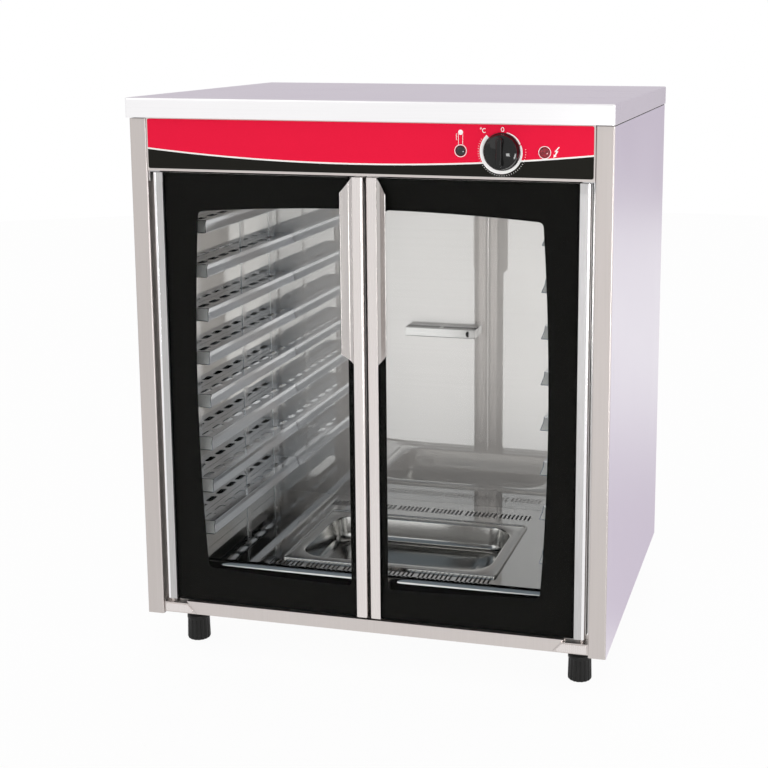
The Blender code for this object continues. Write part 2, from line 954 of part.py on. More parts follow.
def build_sensor():
    """Guard cover on the chamber's back wall, with the sensor bulb lying inside it."""
    low = floor_z + guard_rise
    high = low + guard_height
    outline = [
        (guard_x - guard_width / 2, low),
        (guard_x + guard_width / 2, low),
        (guard_x + guard_width / 2, high),
        (guard_x - guard_width / 2, high),
    ]
    rear = chamber_back_y - seat_gap
    tray("sensor_guard", outline, "Y", rear - guard_depth, rear, rail_sheet, lining_steel)
    bulb_y = rear - guard_depth / 2
    bulb_z = low + rail_sheet + seat_gap + bulb_radius
    mesh = rod_mesh(
        "sensor_bulb",
        bulb_radius,
        (guard_x - bulb_length / 2, bulb_y, bulb_z),
        (guard_x + bulb_length / 2, bulb_y, bulb_z),
        small_round_steps,
    )
    smooth(add_mesh("sensor_bulb", mesh, hinge_steel))


def corner_arc(centre_u, centre_v, radius, quarter):
    """A quarter circle, counter-clockwise; quarter 0 starts at the right."""
    points = []
    for i in range(corner_steps + 1):
        angle = (quarter + i / corner_steps) * math.pi / 2
        points.append((centre_u + radius * math.cos(angle), centre_v + radius * math.sin(angle)))
    return points


def profile_outline(side):
    """Section of the hinge-side profile: a channel for the glass, rounded on its outer edge."""
    outer = hinge_x + profile_outside
    inner = outer - profile_width
    groove = inner + glass_seat + seat_gap
    arc_u = outer - profile_corner
    points = [(inner, door_front_y)]
    points += corner_arc(arc_u, door_front_y + profile_corner, profile_corner, -1)
    points += corner_arc(arc_u, door_back_y - profile_corner, profile_corner, 0)
    points += [
        (inner, door_back_y),
        (inner, glass_back_y + seat_gap),
        (groove, glass_back_y + seat_gap),
        (groove, glass_front_y - seat_gap),
        (inner, glass_front_y - seat_gap),
    ]
    return [(side * u, v) for u, v in points]


def stile_outline(side):
    """Section of the centre stile: a channel that grips the glass's free edge."""
    near = door_centre_gap / 2
    far = near + stile_width
    groove = far - glass_seat - seat_gap
    points = [
        (near, door_front_y),
        (near, door_back_y),
        (far, door_back_y),
        (far, glass_back_y + seat_gap),
        (groove, glass_back_y + seat_gap),
        (groove, glass_front_y - seat_gap),
        (far, glass_front_y - seat_gap),
        (far, door_front_y),
    ]
    return [(side * u, v) for u, v in points]


def build_wing(name, side):
    """Pull wing: a strip beside the stile that flares forward, its ends cut off at a slant."""
    start = door_centre_gap / 2 + stile_width + seat_gap
    bend = start + wing_flat
    tip = bend + wing_flare_out
    path = [
        (side * start, door_front_y),
        (side * bend, door_front_y),
        (side * tip, door_front_y - wing_flare_forward),
    ]
    if side < 0:
        path.reverse()
    high = door_top_z
    low = high - wing_length
    wing = bent_sheet("pull_wing_" + name, path, "Z", low, high, wing_sheet, stile_steel)
    front = door_front_y - wing_flare_forward - cut_overrun
    rear = door_front_y + wing_sheet + cut_overrun
    past = tip + cut_overrun
    for end, z, way, chamfer in (
        ("top", high, 1.0, wing_top_chamfer),
        ("bottom", low, -1.0, wing_bottom_chamfer),
    ):
        rise = chamfer * (past - start) / (tip - start)
        outline = [
            (side * start, z),
            (side * past, z - way * rise),
            (side * past, z + way * cut_overrun),
            (side * start, z + way * cut_overrun),
        ]
        tool = outline_mesh("wing_chamfer_" + name + "_" + end, outline, "Y", front, rear)
        combine(wing, cutter("wing_chamfer_" + name + "_" + end, tool), "DIFFERENCE")
    return wing


def build_doors():
    profile_inner = hinge_x + profile_outside - profile_width
    glass_outer = profile_inner + glass_seat
    glass_inner = door_centre_gap / 2 + stile_width - glass_seat
    seal_far = door_centre_gap / 2 - seat_gap
    seal_near = seal_clearance
    seal_y = door_front_y + seal_setback
    for name, side in sides:
        glass_x = sorted((side * glass_outer, side * glass_inner))
        glass = box(
            "door_glass_" + name,
            (glass_x[0], glass_front_y, door_bottom_z),
            (glass_x[1], glass_back_y, door_top_z),
            printed_glass,
        )
        profile = plate(
            "hinge_profile_" + name,
            profile_outline(side),
            "Z",
            door_bottom_z,
            door_top_z,
            profile_aluminium,
        )
        for end, low, high in (
            ("bottom", door_bottom_z - cut_overrun, door_bottom_z + pin_bore_depth),
            ("top", door_top_z - pin_bore_depth, door_top_z + cut_overrun),
        ):
            bore = rod_mesh(
                "bore_" + end + "_" + name,
                pin_radius + pin_clearance,
                (side * hinge_x, hinge_y, low),
                (side * hinge_x, hinge_y, high),
                small_round_steps,
            )
            combine(profile, cutter("bore_" + end + "_" + name, bore), "DIFFERENCE")
        stile = plate(
            "centre_stile_" + name, stile_outline(side), "Z", door_bottom_z, door_top_z, stile_steel
        )
        seal_x = sorted((side * seal_near, side * seal_far))
        seal = box(
            "door_seal_" + name,
            (seal_x[0], seal_y, door_bottom_z + seal_end_gap),
            (seal_x[1], seal_y + seal_thickness, door_top_z - seal_end_gap),
            seal_rubber,
        )
        wing = build_wing(name, side)
        hinge = joint_empty("door_hinge_" + name, (side * hinge_x, hinge_y, door_bottom_z))
        hang_on(hinge, [glass, profile, stile, seal, wing])


def build_feet():
    """Levelling feet: a body, a neck under the base and a threaded stem through it."""
    neck_top = base_bottom_z - seat_gap
    profile = [
        (0.0, neck_top + stem_length),
        (stem_radius, neck_top + stem_length),
        (stem_radius, neck_top),
        (neck_radius, neck_top),
        (neck_radius, foot_body_height + foot_chamfer),
        (foot_radius - foot_chamfer, foot_body_height),
        (foot_radius, foot_body_height - foot_chamfer),
        (foot_radius, foot_chamfer),
        (foot_radius - foot_chamfer, 0.0),
        (0.0, 0.0),
    ]
    for name, x, y in foot_places():
        foot = turned(name, profile, (x, y, 0.0), (0.0, 0.0, 1.0), fine_round_steps, foot_plastic)
        axis = joint_empty(name + "_axis", (x, y, 0.0))
        hang_on(axis, [foot])


def build_gland():
    """Cable gland through the back panel, empty, as far behind the body as the knob stands before it."""
    rear = -(decal_front_y - seat_gap - knob_height)
    z = body_bottom_z + gland_rise
    outer_seat = body_back_y + seat_gap
    inner_seat = body_back_y - sheet - seat_gap
    profile = [
        (gland_bore_radius, rear),
        (gland_thread_radius, rear),
        (gland_nut_radius, rear - seat_gap - sheet),
        (gland_nut_radius, outer_seat),
        (gland_thread_radius, outer_seat),
        (gland_thread_radius, inner_seat),
        (gland_nut_radius, inner_seat),
        (gland_nut_radius, inner_seat - gland_nut_depth),
        (gland_bore_radius, inner_seat - gland_nut_depth),
    ]
    turned(
        "cable_gland",
        profile,
        (gland_x, 0.0, z),
        (0.0, 1.0, 0.0),
        fine_round_steps,
        housing_plastic,
        closed=True,
    )


def build_catch():
    rear = lining_front_seat_y
    box(
        "door_catch",
        (-catch_width / 2, rear - catch_thickness, door_top_z - catch_height),
        (catch_width / 2, rear, door_top_z),
        housing_plastic,
    )


build_worktop()
build_side_panels()
build_back_and_base()
build_sill()
build_bottom_brackets()
build_top_brackets()
build_control_panel()
build_lamps()
build_thermostat()
build_knob()
build_lining()
build_rails()
build_pan()
build_heating_element()
build_sensor()
build_doors()
build_feet()
build_gland()
build_catch()
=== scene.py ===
import math

import bpy
import numpy as np
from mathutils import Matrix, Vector


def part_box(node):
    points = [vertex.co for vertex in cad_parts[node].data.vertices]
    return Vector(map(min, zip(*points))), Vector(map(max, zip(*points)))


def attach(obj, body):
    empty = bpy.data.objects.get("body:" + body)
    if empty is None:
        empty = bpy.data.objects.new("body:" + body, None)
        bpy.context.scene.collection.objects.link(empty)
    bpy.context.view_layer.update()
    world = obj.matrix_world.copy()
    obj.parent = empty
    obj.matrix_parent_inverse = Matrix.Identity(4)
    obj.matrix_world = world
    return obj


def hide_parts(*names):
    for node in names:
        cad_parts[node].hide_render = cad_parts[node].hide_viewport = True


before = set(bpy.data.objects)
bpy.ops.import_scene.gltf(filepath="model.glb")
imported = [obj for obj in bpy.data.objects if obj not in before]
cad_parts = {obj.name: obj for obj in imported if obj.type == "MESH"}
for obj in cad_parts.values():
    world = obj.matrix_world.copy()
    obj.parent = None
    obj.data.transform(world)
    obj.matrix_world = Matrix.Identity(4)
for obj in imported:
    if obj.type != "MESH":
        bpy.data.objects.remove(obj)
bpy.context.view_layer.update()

# Two-door glass-fronted proofing cabinet, dressed over its plain solids. Metres, +Z up, doors towards -Y.
# Pieces are surfaces worked out on grids of points; each function says its formula in words.

# Names and signs of the two sides
sides = (("left", -1.0), ("right", 1.0))

# Sizes and steps shared by several pieces
sheet = 0.0012
seat = 0.0003
print_lift = 0.00015
print_gap = 0.00003
edge_support = 0.0004
axis_radius = 0.00001
bend_steps = 5
dome_steps = 6
small_ring_steps = 16
ring_steps = 48
fine_ring_steps = 96
smooth_degrees = 38.0
full_turn = np.arange(ring_steps) / ring_steps * 2 * math.pi

# Worktop
worktop_edge_radius = 0.0026
worktop_foot_radius = 0.0007
worktop_corner_radius = 0.0016
worktop_return = 0.030
shadow_gap = 0.0016

# Folded sides
body_bend = 0.0024
post_width = 0.029
post_return = 0.027
rear_flange = 0.020
outer_share = 0.25

# Printed border of the doors: the clear window's curved sides, heights counted from the side panels' foot
window_inner_x = 0.0320
window_outer_x = 0.2985
window_outer_bow = 0.0113
window_bow_height = 0.310
window_middle_rise = 0.394
window_top_rise = 0.7112
window_top_bow = 0.0118
window_bottom_rise = 0.0780
window_bottom_bow = 0.0095
window_bow_width = 0.287
window_corner = 0.007
window_corner_share = 0.18
window_side_steps = 22
window_corner_steps = 6
pane_corner_share = 0.05
print_thickness = 0.0001
print_reach = 0.002

# Centre stiles
stile_inner_round = 0.0044
stile_meeting_gap = 0.0024
stile_outer_round = 0.0005

# Pull wings
wing_sheet = 0.0015
wing_flat = 0.005
wing_flare_out = 0.012
wing_flare_forward = 0.0098
wing_hem = 0.0045
wing_hem_rise = 0.0009
wing_bend = 0.0024
wing_edge_round = 0.0009
wing_fine_round = 0.0003
wing_top_chamfer = 0.0245
wing_bottom_chamfer = 0.018

# Bright cover on the hinge profiles
cover_sheet = 0.0003
cover_face = 0.0115
cover_tilt = 0.0008
cover_end = 0.0160
cover_bead = 0.0040
cover_side = 0.009

# Tray rails
rail_levels = 8
rail_sheet = 0.001
rail_bend = 0.0012
rail_slot_length = 0.031
rail_slot_width = 0.012
rail_slots = 9
rail_nose_drop = 0.0075
rail_lean = 0.0042
rail_return = 0.026
rail_front_cut = 0.012

# Uprights behind the rails
upright_width = 0.016
upright_sheet = 0.0015
upright_round = 0.0005
upright_places = (-0.236, -0.030, 0.108)
upright_screws = (0.030, 0.058)

# Chamber floor
floor_slot_length = 0.027
floor_slot_width = 0.0034
floor_slot_pitch = 0.0077
floor_slots_in_group = 8
floor_group_pitch = 0.066
floor_groups = 6
floor_row_margin = 0.0035
floor_front_setback = 0.0140
floor_front_bend = 0.0105
floor_front_row = 0.0350
floor_rear_row = 0.3645
well_corner = 0.047
well_gap = 0.002
well_steps = 8

# Humidity pan
pan_bead = 0.0020
pan_bead_end = 0.0060
pan_rim = 0.022
pan_rim_drop = 0.0012
pan_edge_depth = 0.0042
pan_corner = 0.046
pan_panel_corner = 0.023
pan_outer_corner = 0.008
pan_depth = 0.045
pan_draft = 0.006
pan_floor_round = 0.015
pan_floor_corner_share = 0.8
pan_floor_steps = 8
pan_corner_steps = 10
pan_shoulder = 0.0045
pan_panel_inset = 0.022
pan_panel_step = 0.003
pan_panel_rise = 0.0012
pan_sheet = 0.0009

# Sensor guard
guard_sheet = 0.001
guard_bend = 0.0012
guard_height = 0.0165
guard_reach = 0.010
guard_lip = 0.0013
guard_slot_length = 0.0190
guard_slot_width = 0.0030
guard_slot_pitch = 0.0048
guard_slots = 13
guard_plain_share = 0.05
guard_hole_radius = 0.0058
guard_hole_inset = 0.0115

# Scale ring round the knob. Each part has its start and end in degrees clockwise from the top, and its width
# at the start and at its widest
ring_inner = 0.0293
ring_parts = ((14.0, 68.0, 0.0012, 0.00216), (71.0, 316.0, 0.00264, 0.0058))
ring_swell = 1.8
tick_radius = 0.0364
tick_length = 0.0017
tick_width = 0.0006
tick_first_degrees = 84.0
tick_last_degrees = 300.0
tick_count = 37

# Zero, letter C and degree sign, placed from the knob's middle
glyph_height = 0.0074
glyph_width = 0.0052
glyph_line = 0.00115
zero_place = (0.0009, 0.0339)
letter_place = (-0.0278, 0.0318)
letter_width_share = 0.92
letter_gap_degrees = 48.0
degree_place = (-0.0330, 0.0350)
degree_radius = 0.0011
degree_line = 0.00069

# Thermometer and bolt, placed from the middle of their lamps
lamp_ring_radius = 0.0093
lamp_ring_line = 0.0010
sign_line = 0.0007
stem_half_width = 0.0034
stem_foot = 0.0092
stem_top = 0.0255
bulb_rise = 0.0285
bulb_radius = 0.0020
bulb_line = 0.00392
scale_x = -0.0068
scale_foot = 0.0165
scale_top = 0.0265
scale_marks = (0.0168, 0.0215, 0.0262)
scale_mark_ends = (-0.0070, -0.0052)
bolt_place = (0.0178, 0.0010)
bolt_outline = (
    (0.0032, 0.0078), (-0.0030, 0.0004), (-0.0002, 0.0004), (-0.0020, -0.0044), (-0.0038, -0.0036),
    (-0.0042, -0.0086), (0.0006, -0.0062), (-0.0008, -0.0054), (0.0034, 0.0016), (0.0004, 0.0016),
    (0.0056, 0.0078),
)
print_smooth_degrees = 20.0

# White line that parts the red from the black on the control panel, counted from the panel's foot
swoosh_rise = 0.0190
swoosh_curve = 0.143
swoosh_centre_x = -0.015
swoosh_half_width = 0.00125

# Knob
knob_skirt_radius = 0.029
knob_skirt_height = 0.0034
knob_neck_radius = 0.0272
knob_crown_radius = 0.0262
knob_crown_height = 0.0120
knob_crown_rise = 0.0070
knob_round = 0.0018
knob_height = 0.025
knob_grip_width = 0.0090
knob_grip_foot_width = 0.0150
knob_grip_half_length = 0.0225
knob_grip_round = 0.0032
knob_grip_steps = 8
grip_end_share = 0.9
shaft_radius = 0.003
shaft_length = 0.030

# Lamps
lens_radius = 0.0078
lens_height = 0.0032
bezel_width = 0.0010
bezel_steps = 10

# Feet
foot_rib_count = 16
foot_steps_per_rib = 6
foot_rib_depth = 0.0016
foot_rib_start = 0.00525
foot_half_rib_share = 0.5
foot_round = 0.0035
foot_round_steps = 4
foot_neck_radius = 0.0165
foot_body_height = 0.046
foot_stem_radius = 0.005
foot_collar = 0.007
foot_smooth_degrees = 50.0

# Screws on the back and the uprights
screw_radius = 0.0038
screw_height = 0.0016
screw_recess = 0.0016
back_screw_inset = 0.010
back_screw_columns = 6
back_screw_rows = 6

# Hinge bracket plates: each x counts from the cabinet's middle
plate_thickness = 0.0012
plate_margin = 0.0020
plate_corner = 0.0030
plate_height = 0.0177
plate_inner_foot_x = 0.3135
plate_inner_top_x = 0.3265
plate_outer_x = 0.3665

# Noise: the span that most of it stays in, then detail and roughness
noise_low = 0.3
noise_high = 0.7
noise_detail = 2.0
noise_roughness = 0.5
grain_detail = 3.0
grain_roughness = 0.62
smudge_scale = 6.0
metal_relief = 0.00004
plastic_relief = 0.00005

# Sheet metals: darker and lighter shade, grain scale along X, Y and Z, span of roughness, strength of relief
metal_looks = {
    "worktop_steel": ((0.885, 0.875, 0.885), (0.925, 0.915, 0.925), (2.0, 900.0, 900.0), (0.26, 0.34), 0.05),
    "post_steel": ((0.575, 0.53, 0.51), (0.615, 0.57, 0.55), (1400.0, 1400.0, 5.0), (0.32, 0.40), 0.04),
    "side_steel": ((0.53, 0.488, 0.469), (0.566, 0.524, 0.506), (1400.0, 1400.0, 5.0), (0.32, 0.40), 0.04),
    "stile_steel": ((0.71, 0.665, 0.645), (0.75, 0.70, 0.685), (1500.0, 1500.0, 4.0), (0.24, 0.30), 0.03),
    "wing_steel": ((0.47, 0.445, 0.43), (0.51, 0.48, 0.465), (1500.0, 1500.0, 4.0), (0.20, 0.26), 0.03),
    "bead_steel": ((0.86, 0.85, 0.86), (0.93, 0.92, 0.93), (1500.0, 1500.0, 4.0), (0.12, 0.20), 0.04),
    "profile_aluminium": (
        (0.44, 0.432, 0.43), (0.55, 0.54, 0.54), (1800.0, 1800.0, 30.0), (0.34, 0.46), 0.16,
    ),
    "mirror_steel": ((0.78, 0.775, 0.76), (0.81, 0.805, 0.79), (20.0, 20.0, 20.0), (0.03, 0.06), 0.02),
    "rail_steel": ((0.78, 0.80, 0.83), (0.86, 0.88, 0.91), (900.0, 6.0, 900.0), (0.07, 0.13), 0.03),
    "cut_steel": ((0.93, 0.92, 0.90), (0.98, 0.97, 0.95), (400.0, 400.0, 400.0), (0.60, 0.75), 0.05),
    "guard_steel": ((0.78, 0.77, 0.76), (0.86, 0.85, 0.84), (4.0, 900.0, 900.0), (0.20, 0.28), 0.04),
    "pan_steel": ((0.66, 0.65, 0.63), (0.71, 0.70, 0.68), (300.0, 300.0, 300.0), (0.13, 0.19), 0.03),
    "hinge_steel": ((0.42, 0.42, 0.43), (0.52, 0.52, 0.53), (300.0, 300.0, 300.0), (0.30, 0.42), 0.10),
    "element_steel": ((0.20, 0.18, 0.16), (0.34, 0.30, 0.26), (60.0, 60.0, 60.0), (0.38, 0.50), 0.10),
    "back_steel": ((0.88, 0.835, 0.805), (0.92, 0.875, 0.845), (3.0, 500.0, 500.0), (0.42, 0.50), 0.02),
}
# Painted light: paler lilac for the outer face of the side sheets, standing for how light falls there
side_painted_light = (0.86, 0.82, 0.89)
back_gloss = {"Coat Weight": 1.0, "Coat Roughness": 0.02, "Coat IOR": 3.8}

# Plastics and inks: two shades, roughness, grain scale, strength of relief, specular level
plastic_looks = {
    "border_ink": ((0.0030, 0.0028, 0.0020), (0.0045, 0.0042, 0.0032), 0.6, 700.0, 0.02, 0.05),
    "white_ink": ((0.93, 0.92, 0.91), (0.97, 0.96, 0.95), 0.55, 900.0, 0.02, 0.5),
    "gloss_black": ((0.005, 0.005, 0.005), (0.008, 0.008, 0.008), 0.07, 500.0, 0.01, 0.28),
    "lens_black": ((0.008, 0.008, 0.008), (0.014, 0.013, 0.012), 0.10, 1200.0, 0.02, 0.5),
    "lens_red": ((0.05, 0.003, 0.006), (0.42, 0.012, 0.03), 0.12, 420.0, 0.05, 0.5),
    "foot_plastic": ((0.009, 0.009, 0.009), (0.018, 0.018, 0.017), 0.42, 1400.0, 0.20, 0.2),
    "seal_rubber": ((0.02, 0.02, 0.019), (0.035, 0.034, 0.032), 0.70, 1500.0, 0.25, 0.5),
    "housing_plastic": ((0.05, 0.05, 0.05), (0.075, 0.074, 0.072), 0.5, 1100.0, 0.2, 0.5),
}

# Inks of the control panel
film_red = ((0.775, 0.0074, 0.0415), (0.835, 0.0105, 0.0525))
film_black = ((0.008, 0.0078, 0.006), (0.013, 0.0125, 0.010))
film_white = (0.90, 0.89, 0.87)
film_gloss = {"Roughness": 0.5, "Specular IOR Level": 0.08}
film_grain = 900.0
film_relief_strength = 0.04

# Glass of the doors
glass_values = {"Transmission Weight": 1.0, "IOR": 1.10, "Base Color": (0.985, 0.99, 0.985, 1.0)}
smear_scale = 9.0
smear_roughness = 0.012

# Solids that keep their own shape, by look
kept_solids = {
    "post_steel": (
        "control_fascia",
        "sill_strip",
        "back_panel",
        "base_panel",
        "hinge_bracket_bottom_left",
        "hinge_bracket_bottom_right",
    ),
    "hinge_steel": ("hinge_bracket_top_left", "hinge_bracket_top_right", "sensor_bulb"),
    "profile_aluminium": ("hinge_profile_left", "hinge_profile_right"),
    "clear_glass": ("door_glass_left", "door_glass_right"),
    "seal_rubber": ("door_seal_left", "door_seal_right"),
    "fascia_print": ("fascia_decal",),
    "lens_black": ("thermostat_lamp",),
    "lens_red": ("power_lamp",),
    "housing_plastic": ("thermostat_body", "cable_gland", "door_catch"),
    "mirror_steel": ("chamber_wall_left", "chamber_wall_right", "chamber_ceiling"),
    "back_steel": ("chamber_back",),
    "element_steel": ("heating_element",),
}

# Studio floor and surroundings. A zone is four edges of a coordinate: it rises between the first two and
# falls between the last two. Floor zones are places, the others directions
floor_radius = 6.0
floor_keep_share = 0.05
floor_values = {"Base Color": (0.9, 0.9, 0.9, 1.0), "Roughness": 0.9}
# Painted shadow: darker lilac of the floor under and behind the cabinet, seen only in mirrors
floor_shadow_in_mirrors = (0.66, 0.61, 0.68)
floor_behind = (-0.3, 0.1, 0.5, 2.2)
floor_in_front = (-6.0, -6.0, -0.9, -0.6)
floor_to_right = (0.35, 0.60, 6.0, 7.0)
pure_white = (1.0, 1.0, 1.0)
flag_color = (0.14, 0.165, 0.19)
even_values = {"Color": (1.0, 0.99, 0.985, 1.0), "Strength": 0.78}
far_tint = (0.60, 0.55, 0.62)
far_behind = (0.35, 0.80, 2.0, 3.0)
far_in_front = (-3.0, -2.0, -0.70, -0.55)
far_to_right = (0.22, 0.30, 0.52, 0.62)
far_low = (-0.14, -0.07, 0.42, 0.60)
far_overhead = (0.12, 0.46, 2.0, 3.0)
far_across = (-0.62, -0.50, 0.50, 0.62)

# Studio lamps: place, aim, width and height, watts, colour
studio_lamps = {
    "front_soft": ((-1.6, -2.6, 2.2), (0.0, -0.3, 0.5), (1.6, 1.6), 7.0, (1.0, 0.985, 0.97)),
    "right_strip": ((2.4, -0.9, 1.0), (0.3, -0.1, 0.6), (0.4, 2.2), 10.0, (0.98, 0.97, 1.0)),
    "knob_glint": ((1.2, -2.54, 0.30), (0.2, -0.3, 0.9), (0.42, 0.50), 13.0, (1.0, 1.0, 1.0)),
}

# Camera
camera_location = (0.7302, -2.5281, 1.0777)
camera_heading_degrees = 14.418
camera_tilt_degrees = 10.285
camera_lens = 69.64
camera_sensor = 36.0
camera_shift = (-0.10, -0.12)


# Places of the solids

def middle(node):
    """The middle of a node's box."""
    low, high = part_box(node)
    return (np.array(low) + np.array(high)) / 2


def reach(node, side):
    """How far a node's inner and outer face lie from the cabinet's middle, on its own side."""
    low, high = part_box(node)
    return (low.x, high.x) if side > 0 else (-high.x, -low.x)


# Grids of points and the quads between them

def place(u, v, w, along):
    """Section coordinates to space: u, v and w are x, y, z along Z; y, z, x along X; x, z, y along Y."""
    u, v, w = np.broadcast_arrays(u, v, w)
    order = {"Z": (u, v, w), "X": (w, u, v), "Y": (u, w, v)}[along]
    return np.stack(order, axis=-1).astype(float)


def quads(rows, columns, wrap_rows, wrap_columns):
    """Joins each point of a grid to the next along its row and column."""
    r = np.arange(rows if wrap_rows else rows - 1)[:, None]
    c = np.arange(columns if wrap_columns else columns - 1)[None, :]
    after_r = (r + 1) % rows
    after_c = (c + 1) % columns
    corners = [r * columns + c, after_r * columns + c, after_r * columns + after_c, r * columns + after_c]
    return np.stack(np.broadcast_arrays(*corners), axis=-1).reshape(-1, 4)


def volume(points, faces):
    """Six times the signed volume of a closed surface, from fans of triangles."""
    total = 0.0
    for face in faces:
        corners = points[list(face)]
        total += np.cross(corners[1:-1], corners[2:]).dot(corners[0]).sum()
    return total


def closed(grid, wrap_columns=False):
    """A shell from a grid: rows run round it, columns from one end to the other. The columns close on
    themselves, or else two caps close the ends."""
    rows, columns = grid.shape[:2]
    points = grid.reshape(-1, 3)
    faces = [tuple(face) for face in quads(rows, columns, True, wrap_columns)]
    if not wrap_columns:
        first = np.arange(rows) * columns
        faces.append(tuple(first[::-1]))
        faces.append(tuple(first + columns - 1))
    if volume(points, faces) < 0.0:
        faces = [face[::-1] for face in faces]
    return points, faces


def closed_loops(loops, along):
    """A shell like a picture frame or a tube: outlines, each with its level, joined one to the next."""
    grid = np.stack([place(line[:, 0], line[:, 1], level, along) for line, level in loops], axis=1)
    return closed(grid, wrap_columns=True)


def make_object(name, shells, angle):
    """One object from several shells, smooth except at edges sharper than the angle in degrees."""
    points = np.concatenate([shell[0] for shell in shells])
    faces = []
    first = 0
    for shell_points, shell_faces in shells:
        faces += [[int(i) + first for i in face] for face in shell_faces]
        first += len(shell_points)
    mesh = bpy.data.meshes.new(name)
    mesh.from_pydata(points.tolist(), [], faces)
    mesh.shade_smooth()
    mesh.set_sharp_from_angle(angle=math.radians(angle))
    item = bpy.data.objects.new(name, mesh)
    bpy.context.scene.collection.objects.link(item)
    return item


def add_piece(name, shells, body, look, replaced=(), angle=smooth_degrees):
    """A finished piece: its surface, its look, the body that it rides on and the nodes that it stands for."""
    item = make_object(name, shells, angle)
    item.data.materials.append(looks[look])
    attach(item, body)
    if replaced:
        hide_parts(*replaced)


# Outlines and sections

def unit(vector):
    return vector / np.linalg.norm(vector)


def leftward(run):
    """Unit vectors a quarter turn to the left of each step of a path."""
    run = run / np.linalg.norm(run, axis=1)[:, None]
    return np.stack([-run[:, 1], run[:, 0]], axis=1)


def ellipse(centre, half_width, half_height, angles=full_turn):
    """Points round a centre, by the cosine and sine of each angle."""
    u = centre[0] + half_width * np.cos(angles)
    v = centre[1] + half_height * np.sin(angles)
    return np.stack([u, v], axis=1)


def clock(radius, degrees, centre):
    """Points on a circle, with the angle counted clockwise from the top as seen from the front."""
    angles = np.radians(degrees)
    return np.stack([centre[0] + radius * np.sin(angles), centre[1] + radius * np.cos(angles)], axis=-1)


def rounded(corners, radii, is_closed=True):
    """Rounds an outline: each corner becomes the arc that touches both its sides, with a support point
    just outside either end so that flat faces stay flat when shaded."""
    corners = np.asarray(corners, float)
    count = len(corners)
    radii = np.broadcast_to(radii, count)
    points = []
    for i in range(count):
        here = corners[i]
        at_end = not is_closed and i in (0, count - 1)
        if at_end or radii[i] <= 0.0:
            points.append(here)
            continue
        back = unit(corners[i - 1] - here)
        ahead = unit(corners[(i + 1) % count] - here)
        half = math.acos(max(-1.0, min(1.0, float(back @ ahead)))) / 2
        tangent = radii[i] / math.tan(half)
        centre = here + unit(back + ahead) * radii[i] / math.sin(half)
        start = here + back * tangent
        end = here + ahead * tangent
        first_angle = math.atan2(*(start - centre)[::-1])
        last_angle = math.atan2(*(end - centre)[::-1])
        sweep = (last_angle - first_angle + math.pi) % (2 * math.pi) - math.pi
        angles = first_angle + sweep * np.linspace(0.0, 1.0, bend_steps + 1)
        points.append(start + back * edge_support)
        points += list(ellipse(centre, radii[i], radii[i], angles))
        points.append(end + ahead * edge_support)
    return np.array(points)


def offset_path(path, distance):
    """Moves each side of an open path to its left; corners go to where the moved sides meet."""
    left = leftward(np.diff(path, axis=0))
    moved = path.copy()
    moved[0] += distance * left[0]
    moved[-1] += distance * left[-1]
    mitre = left[:-1] + left[1:]
    scale = distance / (1.0 + (left[:-1] * left[1:]).sum(axis=1))
    moved[1:-1] += mitre * scale[:, None]
    return moved


def folded_section(path, thickness, bend):
    """Closed section of a folded sheet: the path on its right face, and the same path moved left by the
    thickness, each with the bend radius that keeps the wall even."""
    path = np.asarray(path, float)
    run = np.diff(path, axis=0)
    turns_left = run[:-1, 0] * run[1:, 1] - run[:-1, 1] * run[1:, 0] > 0.0
    right_radii = np.concatenate([[0.0], np.where(turns_left, bend, bend - thickness), [0.0]])
    left_radii = np.concatenate([[0.0], np.where(turns_left, bend - thickness, bend), [0.0]])
    right = rounded(path, right_radii, is_closed=False)
    left = rounded(offset_path(path, thickness), left_radii, is_closed=False)
    return np.concatenate([right, left[::-1]])


def prism(section, along, low, high):
    """A closed section carried from low to high; either may be one value or one for each point."""
    section = np.asarray(section, float)
    count = len(section)
    w = np.stack([np.broadcast_to(low, count), np.broadcast_to(high, count)], axis=1)
    return closed(place(section[:, :1], section[:, 1:], w, along))


def block(low, high):
    """A plain rectangular filler, as a prism along Z."""
    section = [(low[0], low[1]), (high[0], low[1]), (high[0], high[1]), (low[0], high[1])]
    return prism(section, "Z", low[2], high[2])


def rounded_rectangle(width, length, radius, steps):
    """Four quarter circles joined by straight sides, counter-clockwise round the origin."""
    angles = np.linspace(0.0, math.pi / 2, steps + 1)
    quarter_turns = np.arange(4)[:, None] * math.pi / 2
    turned_angles = angles[None, :] + quarter_turns
    u = np.array([1.0, -1.0, -1.0, 1.0])[:, None] * (width / 2 - radius) + radius * np.cos(turned_angles)
    v = np.array([1.0, 1.0, -1.0, -1.0])[:, None] * (length / 2 - radius) + radius * np.sin(turned_angles)
    return np.stack([u.ravel(), v.ravel()], axis=1)


def stacked(levels, centre, along, steps=bend_steps):
    """Rounded rectangles, one above the other, skinned: each level is a width, length, radius and place."""
    loops = []
    for width, length, radius, w in levels:
        outline = rounded_rectangle(width, length, radius, steps)
        loops.append(place(centre[0] + outline[:, 0], centre[1] + outline[:, 1], w, along))
    return closed(np.stack(loops, axis=1))


def quarter_levels(radius, steps, start_degrees, end_degrees):
    """Inset and drop of a quarter round, as cosines and sines of an even set of angles."""
    angles = np.radians(np.linspace(start_degrees, end_degrees, steps + 1))
    return radius * (1.0 - np.cos(angles)), radius * np.sin(angles)


def turned(profile, centre, along, steps, ripple=None):
    """A profile of radius and height turned about an axis; a ripple adds to each point's radius an amount
    that varies round the axis."""
    profile = np.asarray(profile, float)
    angles = np.arange(steps) / steps * 2 * math.pi
    radius = np.broadcast_to(profile[None, :, 0], (steps, len(profile)))
    if ripple is not None:
        radius = radius + ripple(angles)
    u = centre[0] + radius * np.cos(angles)[:, None]
    v = centre[1] + radius * np.sin(angles)[:, None]
    return closed(place(u, v, profile[None, :, 1], along))


